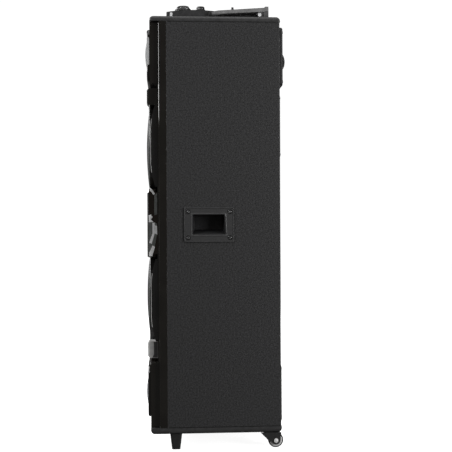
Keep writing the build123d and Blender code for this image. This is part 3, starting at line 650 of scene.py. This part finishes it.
# --- Side handles ------------------------------------------------------------------------------
def handle_dressing():
    """Cross-head screws in round seats at the corners of each side handle, and its raised edges in a lighter
    plastic, a painted highlight.
    """
    rim = ((-68.5, -47.5), (68.5, -47.5), (68.5, 47.5), (-68.5, 47.5))
    mouth = ((-46.5, -28), (46.5, -28), (43, 28), (-46.5, 28))
    rim_profile = ((0, -0.2), (0.1, 0.7), (0.6, 1.2), (1.5, 1.2), (2.1, 0.6), (2.4, -0.2))
    mouth_profile = ((-4.2, -0.2), (-3.4, 0.9), (-2.6, 1.3), (-1.2, 1.3), (-0.2, 0.6), (0, -1.0), (1.5, -14))
    spacing_y, spacing_z = 115 * MM, 71.5 * MM
    seat_profile = in_mm((4.2, 0.1), (5.6, 0.35), (6.2, 0.7), (6.7, 0.6), (7.0, -0.1))
    for side, word in SIDES:
        _, middle_y, middle_z = middle_of("side_handle_" + word)
        face_x = side * (side_x + 3 * MM)
        places = []
        for dy in (-0.5, 0.5):
            for dz in (-0.5, 0.5):
                places.append((face_x, middle_y + dy * spacing_y, middle_z + dz * spacing_z))
        made = screws("side_handle_screws_" + word, places, (side, 0, 0), 4.3 * MM, SCREW)
        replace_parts(made, "handle_screws")
        seats = bmesh.new()
        for place in places:
            lathe(seats, seat_profile, place, (side, 0, 0), steps=32)
        piece("side_handle_seats_" + word, seats, SEAT)
        for label, corners, profile in (("rim", rim, rim_profile), ("mouth", mouth, mouth_profile)):
            shape = bmesh.new()
            loops = []
            for inset, rise in profile:
                points = cut_corners([(y * MM, z * MM) for y, z in corners], inset * MM, 3 * MM)
                loops.append([shape.verts.new((face_x + side * rise * MM, middle_y + y, middle_z + z))
                              for y, z in points])
            band(shape, loops)
            piece(f"side_handle_{label}_{word}", shape, HANDLE_EDGE_HIGHLIGHT, smooth=False)


handle_dressing()


# --- Front ornament ----------------------------------------------------------------------------
GLINT = plated("glint_chrome", (0.86, 0.87, 0.88), 0.22)
# White polished plastic: plain white inlays, and painted glints on the ornament flanks and tray ends.
WHITE_INLAY_AND_PAINTED_GLINT = polished("white_inlay_and_painted_glint", (0.9, 0.91, 0.92), 0.16)
SMOKE = plated("smoked_chrome", (0.1, 0.085, 0.075), 0.12)
PEWTER = moulded("pewter_trim", (0.15, 0.158, 0.154), 0.3)
middle_z = middle_of("centre_ornament").z
woofer_rise = middle_of("woofer_cone_upper").z - middle_z


def waisted(half_x, half_z, arc_radius):
    """The ornament's outline: a rectangle with a woofer's arc taken out of its top and bottom."""
    reach = sqrt(arc_radius**2 - (woofer_rise - half_z) ** 2)
    start = asin(reach / arc_radius)
    corner, steps = 9 * MM, 28
    arc = []
    for step in range(steps + 1):
        angle = start - 2 * start * step / steps
        arc.append((arc_radius * sin(angle), woofer_rise - arc_radius * cos(angle)))
    upper = [(half_x, half_z - corner), (half_x - corner, half_z), *arc]
    upper += [(corner - half_x, half_z), (-half_x, half_z - corner)]
    lower = [(-x, -z) for x, z in upper]
    return [(x, middle_z + z) for x, z in upper + lower]


def ornament():
    """Smoked plate with a plated, bevelled border and raised facets that fan out to both ends."""
    root = seam_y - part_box("centre_ornament")[1].y
    base, crest = 45.5 * MM, 54 * MM
    plate = flat_piece("ornament_plate", [waisted(171 * MM, 93 * MM, 172 * MM)],
                       on_front(root, base + 4 * MM - root), SMOKE, edge=0.6 * MM)
    edges = []
    for label, profile, material in (
        ("wall", ((0, root), (0, crest - 3 * MM)), SMOKE),
        ("border", ((0, crest - 3 * MM), (2 * MM, crest), (5 * MM, crest), (8 * MM, base + 4 * MM)), CHROME),
    ):
        shape = bmesh.new()
        loops = []
        for inset, depth in profile:
            outline = waisted(173 * MM - inset, 95 * MM - inset, 170 * MM + inset)
            loops.append([shape.verts.new((x, seam_y - depth, z)) for x, z in outline])
        band(shape, loops)
        edges.append(piece("ornament_" + label, shape, material, smooth=False))
    shards = bmesh.new()
    fans = (((16, 0), (152, -15), (152, 15)), ((44, 26), (154, 21), (152, 46)),
            ((104, 58), (154, 52), (156, 82)), ((44, -26), (154, -21), (152, -46)),
            ((104, -58), (154, -52), (156, -82)))
    floor_y = seam_y - base - 3.8 * MM
    top_y = seam_y - crest
    for side in (-1, 1):
        for tip, low, high in fans:
            corners = [Vector((side * x * MM, floor_y, middle_z + z * MM)) for x, z in (tip, low, high)]
            ridge = (corners[1] + corners[2]) / 2 * 0.82 + corners[0] * 0.18
            ridge.y = top_y
            peak = shards.verts.new(ridge)
            points = [shards.verts.new(corner) for corner in corners]
            for step in range(3):
                shards.faces.new((points[step], points[(step + 1) % 3], peak))
    facets = piece("ornament_facets", shards, GLINT, smooth=False)
    for made in (plate, facets, *edges):
        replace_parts(made, "centre_ornament")


def ornament_flanks():
    """Faceted inlays on both ends of the ornament; the white ones are painted reflections."""
    end_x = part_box("centre_ornament")[1].x
    # Painted reflections: white patches where the chrome facets catch light.
    bright = (
        ((47, 99), (41, 94), (32, 81), (37, 78), (42, 86), (47, 90)),
        ((50, 22), (45, 24), (39, 16), (45, 11), (37, 3), (50, 2)),
        ((40, 1), (33.5, 1), (33.5, -28), (42, -58), (49, -54), (40, -29)),
        ((40, -62), (33, -66), (41, -92), (49.5, -92), (49, -82)),
        ((33, -6), (27.5, -8), (26.5, -32), (33, -29)),
    )
    smoked = (((47.5, 83), (36, 77), (36, 26), (47.5, 28)),)
    pewter = (
        ((34.5, 76), (26.8, 84), (26.8, 24), (34.5, 22)),
        ((49, 2), (33, 2), (27.5, -2), (27.5, -34), (33, -60), (33, -66), (40, -93), (49.5, -93)),
    )
    kinds = (
        ("bright", bright, WHITE_INLAY_AND_PAINTED_GLINT, 1.4),
        ("smoked", smoked, SMOKE, 1.0),
        ("pewter", pewter, PEWTER, 0.8),
    )
    for side, word in SIDES:
        for kind, outlines, material, rise in kinds:
            scaled = [[(d * MM, middle_z + z * MM) for d, z in outline] for outline in outlines]
            place = on_side(side, end_x, rise * MM)
            made = flat_piece(f"ornament_flank_{kind}_{word}", scaled, place, material)
            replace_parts(made, "centre_ornament")


ornament()
ornament_flanks()


def ring(name, centre, inner, outer, depth, rise, material):
    """A plated ring with a rounded face on the front."""
    shape = bmesh.new()
    mid, half = (inner + outer) / 2, (outer - inner) / 2
    outline = [(mid - half * cos(pi * step / 8), rise * sin(pi * step / 8)) for step in range(9)]
    lathe(shape, outline, (centre.x, seam_y - depth, centre.z), (0, -1, 0), steps=160)
    piece(name, shape, material)


def bezel_edge_highlights():
    """A silver line down the front edge of each woofer bezel's side walls, a painted edge highlight."""
    path = ((42, -74), (44.6, -49), (44.6, 49), (42, 74))
    for word in WOOFERS:
        bezel_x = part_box("woofer_bezel_" + word)[1].x
        middle = middle_of("woofer_bezel_" + word).z
        outline = [(d * MM, middle + z * MM) for d, z in path]
        outline += [((d - 1.5) * MM, middle + z * MM) for d, z in reversed(path)]
        for side, end in SIDES:
            place = on_side(side, bezel_x, 0.6 * MM)
            flat_piece(f"bezel_highlight_line_{word}_{end}", [outline], place, SILVER_PAINTED_HIGHLIGHT, edge=0.15 * MM)


def front_inlays():
    """A bright inlay in each end of the horn bezel, and painted shade on the rear halves of the lower corner
    trims.
    """
    horn_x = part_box("horn_bezel")[1].x
    trim_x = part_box("corner_trim_lower")[1].x
    middle = middle_of("corner_trim_lower").z
    # Painted shade: a dark plate over the rear of each silver lower corner trim.
    shade = ((38, 21.5), (27, 21.5), (27, -21.5), (41, -21.5), (37.5, -12.5), (37.5, 13.5))
    outline = [(d * MM, middle + z * MM) for d, z in shade]
    bar = [rounded(49.4 * MM, 1104 * MM, 4.6 * MM, 76 * MM, 1.6 * MM)]
    for side, end in SIDES:
        flat_piece("horn_inlay_" + end, bar, on_side(side, horn_x, 0.5 * MM), WHITE_INLAY_AND_PAINTED_GLINT, edge=0.1 * MM)
        flat_piece("trim_painted_shade_" + end, [outline], on_side(side, trim_x, 0.5 * MM), COVER, edge=0.1 * MM)


bezel_edge_highlights()
front_inlays()
for word in WOOFERS:
    hub = middle_of("woofer_cone_" + word)
    ring("woofer_accent_" + word, hub, 160 * MM, 163.5 * MM, 47.6 * MM, 1.6 * MM, PEWTER)


# --- Control console ---------------------------------------------------------------------------
def dial_dressing(node, body, radius):
    """A turned cap, a skirt bead, a metal band, grip ribs and a pointer on a knob."""
    low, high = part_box(node)
    centre = (low + high) / 2
    top = Vector((centre.x, centre.y, high.z))
    base = Vector((centre.x, centre.y, low.z))
    full = (high.x - low.x) / 2
    skirt_drop, taper, taper_foot = 14.4 * MM, 10 * MM, 11.4 * MM
    skirt_z = (high.z - skirt_drop) - low.z
    slope = (full - radius) / taper
    band_low, band_high = 8.2 * MM, 6.4 * MM
    lower = full - slope * (taper_foot - band_low)
    upper = full - slope * (taper_foot - band_high)
    turned = (
        ("_cap", METAL_CAP, top, (
            (0, 0.5 * MM), (radius * 0.5, 0.5 * MM), (radius * 0.56, 0.35 * MM), (radius * 0.58, -0.4 * MM),
        )),
        ("_skirt", KNOB, base, (
            (full, skirt_z + 0.3 * MM), (full + 0.7 * MM, skirt_z + 0.8 * MM),
            (full + 0.7 * MM, skirt_z + 2.2 * MM), (full, skirt_z + 2.7 * MM),
        )),
        ("_band", DIM_CHROME, top, (
            (lower, -band_low), (lower + 0.9 * MM, 0.2 * MM - band_low), (lower + MM, MM - band_low),
            (upper + MM, -band_high - 0.6 * MM), (upper, -band_high),
        )),
    )
    for ending, material, place, profile in turned:
        shape = bmesh.new()
        lathe(shape, profile, place, (0, 0, 1), steps=64)
        piece(node + ending, shape, material, body)
    pointer = [rectangle(top.x, top.y - radius * 0.4, 1.4 * MM, radius * 0.5)]
    flat_piece(node + "_pointer", pointer, on_top(high.z + 0.3 * MM, 0.5 * MM), MARK, body, 0.1 * MM)
    grips = bmesh.new()
    ribs = 24
    reach_low, reach_high = full - 0.3 * MM, radius - 0.2 * MM
    for rib in range(ribs):
        turn = Matrix.Rotation(tau * rib / ribs, 3, "Z")
        spots = [Vector((reach_low, w, -10.4 * MM)) for w in (-0.6 * MM, 0.6 * MM)]
        spots += [Vector((reach_high, w, -2.2 * MM)) for w in (0.4 * MM, -0.4 * MM)]
        outer = [grips.verts.new(top + turn @ (spot + Vector((0.7 * MM, 0, 0)))) for spot in spots]
        inner = [grips.verts.new(top + turn @ (spot - Vector((1.0 * MM, 0, 0)))) for spot in spots]
        grips.faces.new(outer)
        grips.faces.new(inner)
        band(grips, (outer, inner))
    piece(node + "_grips", grips, KNOB, body, smooth=False)


METAL_CAP = metal("cap_aluminium", (0.42, 0.42, 0.43), 0.24, brushed=(1, 1, 1))
DIM_CHROME = metal("dim_chrome", (0.6, 0.6, 0.61), 0.25)
MARK = moulded("white_mark", (0.75, 0.75, 0.75), 0.4, edge=0.1 * MM)
KNOBS = (
    ("dial_right", "right_dial", 15.5),
    ("dial_left", "left_dial", 15.5),
    ("knob_volume", "volume_knob", 10.5),
    ("knob_microphone", "microphone_knob", 10.5),
    ("knob_tone", "tone_knob", 8.0),
)
for node, body, radius in KNOBS:
    dial_dressing(node, body, radius * MM)


def console_marks():
    """Scale dots round every knob."""
    dots = []
    for node, _, _ in KNOBS:
        low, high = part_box(node)
        centre = (low + high) / 2
        reach = (high.x - low.x) / 2 + 4.5 * MM
        for step in range(11):
            angle = radians(240 - 30 * step)
            x, y = centre.x + reach * cos(angle), centre.y + reach * sin(angle)
            dots.append(rounded(x, y, 1.5 * MM, 1.5 * MM, 0.7 * MM, 3))
    flat_piece("scale_dots", dots, on_top(console_surface, 0.35 * MM), MARK, edge=0.05 * MM)


console_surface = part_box("control_console")[1].z
console_marks()


def level_bars():
    """Lit level bars behind the display window, in columns that rise and fall."""
    low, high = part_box("display_window")
    bars = []
    columns = 22
    for column in range(columns):
        x = low.x + (high.x - low.x) * (column + 1.5) / (columns + 2)
        level = 0.35 + 0.5 * abs(sin(column * 0.9)) * (0.6 + 0.4 * cos(column * 0.37))
        steps = max(2, int(9 * level))
        for step in range(steps):
            bars.append(rectangle(x, low.y + 8 * MM + step * 2.6 * MM, 3.4 * MM, 1.6 * MM))
    flat_piece("level_bars", bars, on_top(high.z - 0.05 * MM, 0.25 * MM), DISPLAY_LIGHT, edge=0.05 * MM)


def glowing(name, colour, strength):
    paint = Paint(name, colour, 0.4, Emission_Strength=strength)
    paint.shader.inputs["Emission Color"].default_value = (*colour, 1.0)
    paint.tint(paint.noise(3 * MM, 3.0), scaled(colour, 0.8), colour)
    return paint.shine(paint.noise(2 * MM, 2.0), 0.3, 0.5).material


DISPLAY_LIGHT = glowing("display_light", (0.12, 0.5, 0.8), 0.25)
level_bars()


def button_symbols():
    """Plain raised triangles and bars on the three transport buttons."""
    size = 3.0 * MM
    for word, way in (("back", -1), ("play", 0), ("next", 1)):
        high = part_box("button_" + word)[1]
        x, y, _ = middle_of("button_" + word)
        if way == 0:
            marks = [((x - size * 0.7, y - size), (x + size, y), (x - size * 0.7, y + size))]
        else:
            marks = []
            for shift in (-0.55, 0.45):
                tip = x + way * (shift + 0.9) * size
                heel = x + way * shift * size
                marks.append(((heel, y - size * 0.8), (tip, y), (heel, y + size * 0.8)))
        place = on_top(high.z - 0.05 * MM, 0.3 * MM)
        flat_piece(f"button_{word}_mark", marks, place, MARK, word + "_button", 0.05 * MM)


button_symbols()


def console_trim():
    """A bright inlay at both ends of the console, a lip along its rear and a frame round the display."""
    end_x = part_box("control_console")[1].x
    strip = [rectangle(-14.5 * MM, 1204.6 * MM, 7 * MM, 12.5 * MM)]
    for side, word in SIDES:
        place = on_side(side, end_x, 1.2 * MM)
        flat_piece("console_strip_" + word, strip, place, WHITE_INLAY_AND_PAINTED_GLINT, edge=0.4 * MM)
    lip = [rectangle(0.0, seam_y + 142.1 * MM, 333 * MM, 4.4 * MM)]
    flat_piece("console_rear_lip", lip, on_top(1196.2 * MM, 10.8 * MM), CONSOLE)
    window_low, window_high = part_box("display_window")
    mid = middle_of("display_window")
    surround = bmesh.new()
    width, height, _ = window_high - window_low
    loops = []
    for grow, rise in in_mm((0.3, -2), (0.3, 0.3), (1.2, 0.8), (3.4, 0.8), (4.4, -0.4)):
        outline = rounded(mid.x, mid.y, width + 2 * grow, height + 2 * grow, 1.5 * MM + grow)
        loops.append([surround.verts.new((x, y, console_surface + rise)) for x, y in outline])
    band(surround, loops)
    piece("display_frame", surround, PEWTER, smooth=False)


console_trim()


# --- Tablet tray -------------------------------------------------------------------------------
def tray_dressing():
    """Light grey plates, pegs and white patches of painted highlight on the tray's wedge-shaped ends, and a
    soft strip on its lip.
    """
    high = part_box("tablet_tray")[1]
    wedge = ((-123, 1205.2), (-128, 1209.8), (-145, 1215.6), (-274, 1224.6), (-276, 1226.6), (-285.5, 1227.4),
             (-285.5, 1216.0), (-272, 1213.4), (-145, 1206.6))
    outline = [(d * MM, z * MM) for d, z in wedge]
    # Painted highlight: a small white patch near the rear of each tray end.
    highlight_patch = [rounded(-261 * MM, 1205.4 * MM, 9 * MM, 9.6 * MM, 2.4 * MM)]
    for side, word in SIDES:
        flat_piece("tray_side_" + word, [outline], on_side(side, high.x, 0.9 * MM), TRAY_SIDE, "tray")
        peg = bmesh.new()
        lathe(peg, in_mm((3.6, -7), (3.6, 5.4), (2.8, 6.6), (0, 7)),
              (side * 170 * MM, seam_y + 185.5 * MM, 1219.6 * MM), (0, 0, 1), steps=32)
        piece("tray_peg_" + word, peg, KNOB, "tray")
        place = on_side(side, high.x - 3 * MM, 2.4 * MM)
        flat_piece("tray_highlight_patch_" + word, highlight_patch, place, WHITE_INLAY_AND_PAINTED_GLINT, "tray")
    strip = [rounded(0.0, high.y - 5 * MM, 300 * MM, 5 * MM, 2.2 * MM)]
    flat_piece("tray_lip_strip", strip, on_top(high.z - 0.05 * MM, 0.8 * MM), ROLL, "tray")


TRAY_SIDE = moulded("tray_side_plastic", (0.27, 0.27, 0.27), 0.35)
tray_dressing()


# --- Back --------------------------------------------------------------------------------------
def back_screws():
    """Cross-head screws round the back's plates and the pull handle's frame."""
    plates = (
        ("io_panel", 5.0, 9, 3.6, 4),
        ("amplifier_plate", 6.0, 9, 3.6, 4),
        ("rear_handle_frame", 15.0, 14, 4.6, 3),
    )
    for node, plate, inset, radius, columns in plates:
        low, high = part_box(node)
        face = back_y + plate * MM - 0.1 * MM
        places = []
        for column in range(columns):
            x = low.x + inset * MM + (high.x - low.x - 2 * inset * MM) * column / (columns - 1)
            places += [(x, face, low.z + inset * MM), (x, face, high.z - inset * MM)]
        screws(node + "_screws", places, (0, 1, 0), radius * MM, BLACK_STEEL)


def sockets():
    """Jack nuts, line socket collars, the memory port's tongue, a fuse cap and a printed field line."""
    face, row_z, port_x = back_y + 5 * MM, 0.93, 0.1
    fuse_x, fuse_z = 5 * MM, 0.122
    nut_profile = in_mm((3.6, 0), (3.6, 1.8), (4.2, 2.2), (5.8, 2.2), (6.4, 1.6), (6.4, 0))
    collar_profile = in_mm((4.25, 0.2), (4.25, 3.2), (4.8, 3.6), (5.6, 3.2), (6.0, 0.2))
    nuts = bmesh.new()
    for x in (-105, -70):
        lathe(nuts, nut_profile, (x * MM, face + 3 * MM, row_z), (0, 1, 0), steps=6)
    piece("jack_nuts", nuts, STEEL, smooth=False)
    colours = (("red", (0.45, 0.02, 0.015), (-20, 30)), ("white", (0.7, 0.7, 0.68), (5, 55)))
    for word, colour, places in colours:
        collars = bmesh.new()
        for x in places:
            lathe(collars, collar_profile, (x * MM, face, row_z), (0, 1, 0), steps=40)
        piece("socket_collars_" + word, collars, moulded("collar_" + word, colour, 0.35))
    tongue = [rectangle(port_x, row_z + 1.1 * MM, 10.5 * MM, 1.9 * MM)]
    flat_piece("memory_port_tongue", tongue, on_back(-4 * MM, 8 * MM), MARK, edge=0.1 * MM)
    cap = bmesh.new()
    cap_profile = in_mm((0, 2.4), (3, 2.4), (6, 2.2), (7.2, 1.4), (7.6, 0))
    lathe(cap, cap_profile, (fuse_x, back_y + 11 * MM, fuse_z), (0, 1, 0), steps=40)
    piece("fuse_cap", cap, KNOB)
    slot = [rectangle(fuse_x, fuse_z, 9 * MM, 1.4 * MM)]
    flat_piece("fuse_cap_slot", slot, on_back(13.3 * MM, 0.4 * MM), BLACK_STEEL, edge=0.1 * MM)
    line = bmesh.new()
    loops = []
    for grow, rise in in_mm((0, 0), (0.4, 0.5), (1.2, 0.5), (1.6, 0)):
        points = rounded(0.0, row_z, 268 * MM + 2 * grow, 34 * MM + 2 * grow, 6 * MM + grow)
        loops.append([line.verts.new((x, face + rise, z)) for x, z in points])
    band(line, loops)
    piece("socket_field_line", line, MARK, smooth=False)


def grip_ribs():
    """Soft ribs across the pull handle's grip, for the fingers."""
    grip_y, grip_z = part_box("rear_handle_grip")[1].y, 1.092
    ribs = []
    for step in range(15):
        x = (step - 7) * 10 * MM
        ribs.append(rounded(x, grip_z, 4 * MM, 26 * MM, 1.9 * MM))
    place = on_back(grip_y - back_y - 1.4 * MM, 1.6 * MM)
    flat_piece("pull_grip_ribs", ribs, place, ROLL, "pull_grip", 0.4 * MM)


back_screws()
sockets()
grip_ribs()


# --- Castors, feet and seams -------------------------------------------------------------------
def castor_rings():
    """A white ring on both faces of each wheel, and a cap on its axle's outer end."""
    ring_profile = in_mm((12.0, 0.0), (12.4, 0.7), (17.0, 0.7), (17.6, 0.0))
    cap_profile = in_mm((0, 0.9), (2.5, 0.8), (4.2, 0.3), (5.0, -0.4))
    axles_low, axles_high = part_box("castor_axles")
    for side, word in SIDES:
        low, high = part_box("castor_tyre_" + word)
        _, y, z = middle_of("castor_tyre_" + word)
        for face, way in (("outer", side), ("inner", -side)):
            x = high.x if way > 0 else low.x
            shape = bmesh.new()
            lathe(shape, ring_profile, (x, y, z), (way, 0, 0), steps=64)
            piece(f"castor_ring_{face}_{word}", shape, HUB, "castor_" + word)
        cap = bmesh.new()
        cap_x = axles_high.x if side > 0 else axles_low.x
        lathe(cap, cap_profile, (cap_x, y, z), (side, 0, 0), steps=40)
        piece("castor_cap_" + word, cap, HUB)


def castor_gussets():
    """Textured webs that brace each castor's outer plate against the bottom cover."""
    axle_y = middle_of("castor_tyre_right").y
    plate_x = 193.2 * MM
    web = ((-43, 43.4), (-17, 17), (-6, 30), (-6, 43.4))
    outline = [(seam_y - axle_y - y * MM, z * MM) for y, z in web]
    for side, word in SIDES:
        flat_piece("castor_gusset_" + word, [outline], on_side(side, plate_x, 3.9 * MM), FOOT, edge=0.5 * MM)


def bumper_ribs():
    """Four rubber ribs on the back beside the mains inlet; they keep the plug off a wall."""
    ribs = bmesh.new()
    inner_x, half, rise = 158 * MM, 9 * MM, 4.2 * MM
    profile = [(half * cos(pi * step / 10), rise * sin(pi * step / 10)) for step in range(11)]
    for z in (141, 121, 101, 77):
        spot = Vector((inner_x, back_y - 0.5 * MM, z * MM))
        rows = []
        for x, share in ((0, 0.75), (1.2, 1.0), (20.8, 1.0), (22, 0.75)):
            rows.append([ribs.verts.new(spot + Vector((x * MM, v * share, u * share))) for u, v in profile])
        for first, second in zip(rows, rows[1:]):
            for step in range(10):
                ribs.faces.new((first[step], first[step + 1], second[step + 1], second[step]))
        ribs.faces.new(rows[0])
        ribs.faces.new(rows[-1])
    piece("bumper_ribs", ribs, TYRE)


def seam_shadow_lines():
    """Painted shadow: dark strips along both sides where the covers meet the vinyl."""
    depth = back_y - seam_y
    heights = (
        ("top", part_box("top_cover")[0].z - 1.2 * MM),
        ("bottom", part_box("bottom_cover")[1].z + 1.2 * MM),
    )
    for word, z in heights:
        line = [rectangle(-depth / 2, z, depth - 6 * MM, 2.2 * MM)]
        for side, end in SIDES:
            place = on_side(side, side_x, 0.3 * MM)
            flat_piece(f"seam_shadow_{word}_{end}", line, place, SEAT, edge=0.05 * MM)


def foot_pads():
    """Rubber pads with a central recess under the two front feet."""
    foot_x, foot_y = 178 * MM, middle_of("front_feet").y
    profile = in_mm((10.4, 3.0), (10.4, 0.5), (9.6, 0.05), (4.5, 0.05), (4.2, 1.4), (0, 1.4))
    for side, word in SIDES:
        shape = bmesh.new()
        lathe(shape, profile, (side * foot_x, foot_y, 0.0), (0, 0, 1))
        piece("foot_pad_" + word, shape, ROLL)


castor_rings()
castor_gussets()
bumper_ribs()
seam_shadow_lines()
foot_pads()

# --- Stage -------------------------------------------------------------------------------------
add_camera()
add_world()


def floor():
    shape = bmesh.new()
    bmesh.ops.create_grid(shape, x_segments=1, y_segments=1, size=12.0)
    mesh = bpy.data.meshes.new("floor")
    shape.to_mesh(mesh)
    shape.free()
    plane = bpy.data.objects.new("floor", mesh)
    bpy.context.scene.collection.objects.link(plane)
    paint = Paint("floor", (0.8, 0.8, 0.8), 0.6, Emission_Strength=0.93)
    paint.shader.inputs["Emission Color"].default_value = (1, 1, 1, 1)
    paint.tint(paint.noise(0.6, 3.0), (0.88, 0.88, 0.88), (0.92, 0.92, 0.92))
    mesh.materials.append(paint.material)
    plane.visible_diffuse = False
    plane.visible_glossy = False


floor()
add_softbox("overhead", (0.2, 0.0, 3.4), (0, 0, 1.0), 2.6, 2.6, 22)
add_softbox("front_corner_light", (2.2, -2.6, 2.52), (0, 0, 1.0), 1.0, 1.1, 38)
add_softbox("rear_corner_light", (2.5, 2.8, 0.9), (0, 0, 0.3), 1.2, 2.2, 68)
add_softbox("front_light", (-1.4, -3.5, 2.41), (0, 0, 0.7), 3.0, 2.2, 150)
add_softbox("far_side_fill", (-3.4, 0.8, 1.8), (0, 0, 0.7), 2.0, 2.2, 60)

bpy.context.scene.view_settings.view_transform = "Standard"
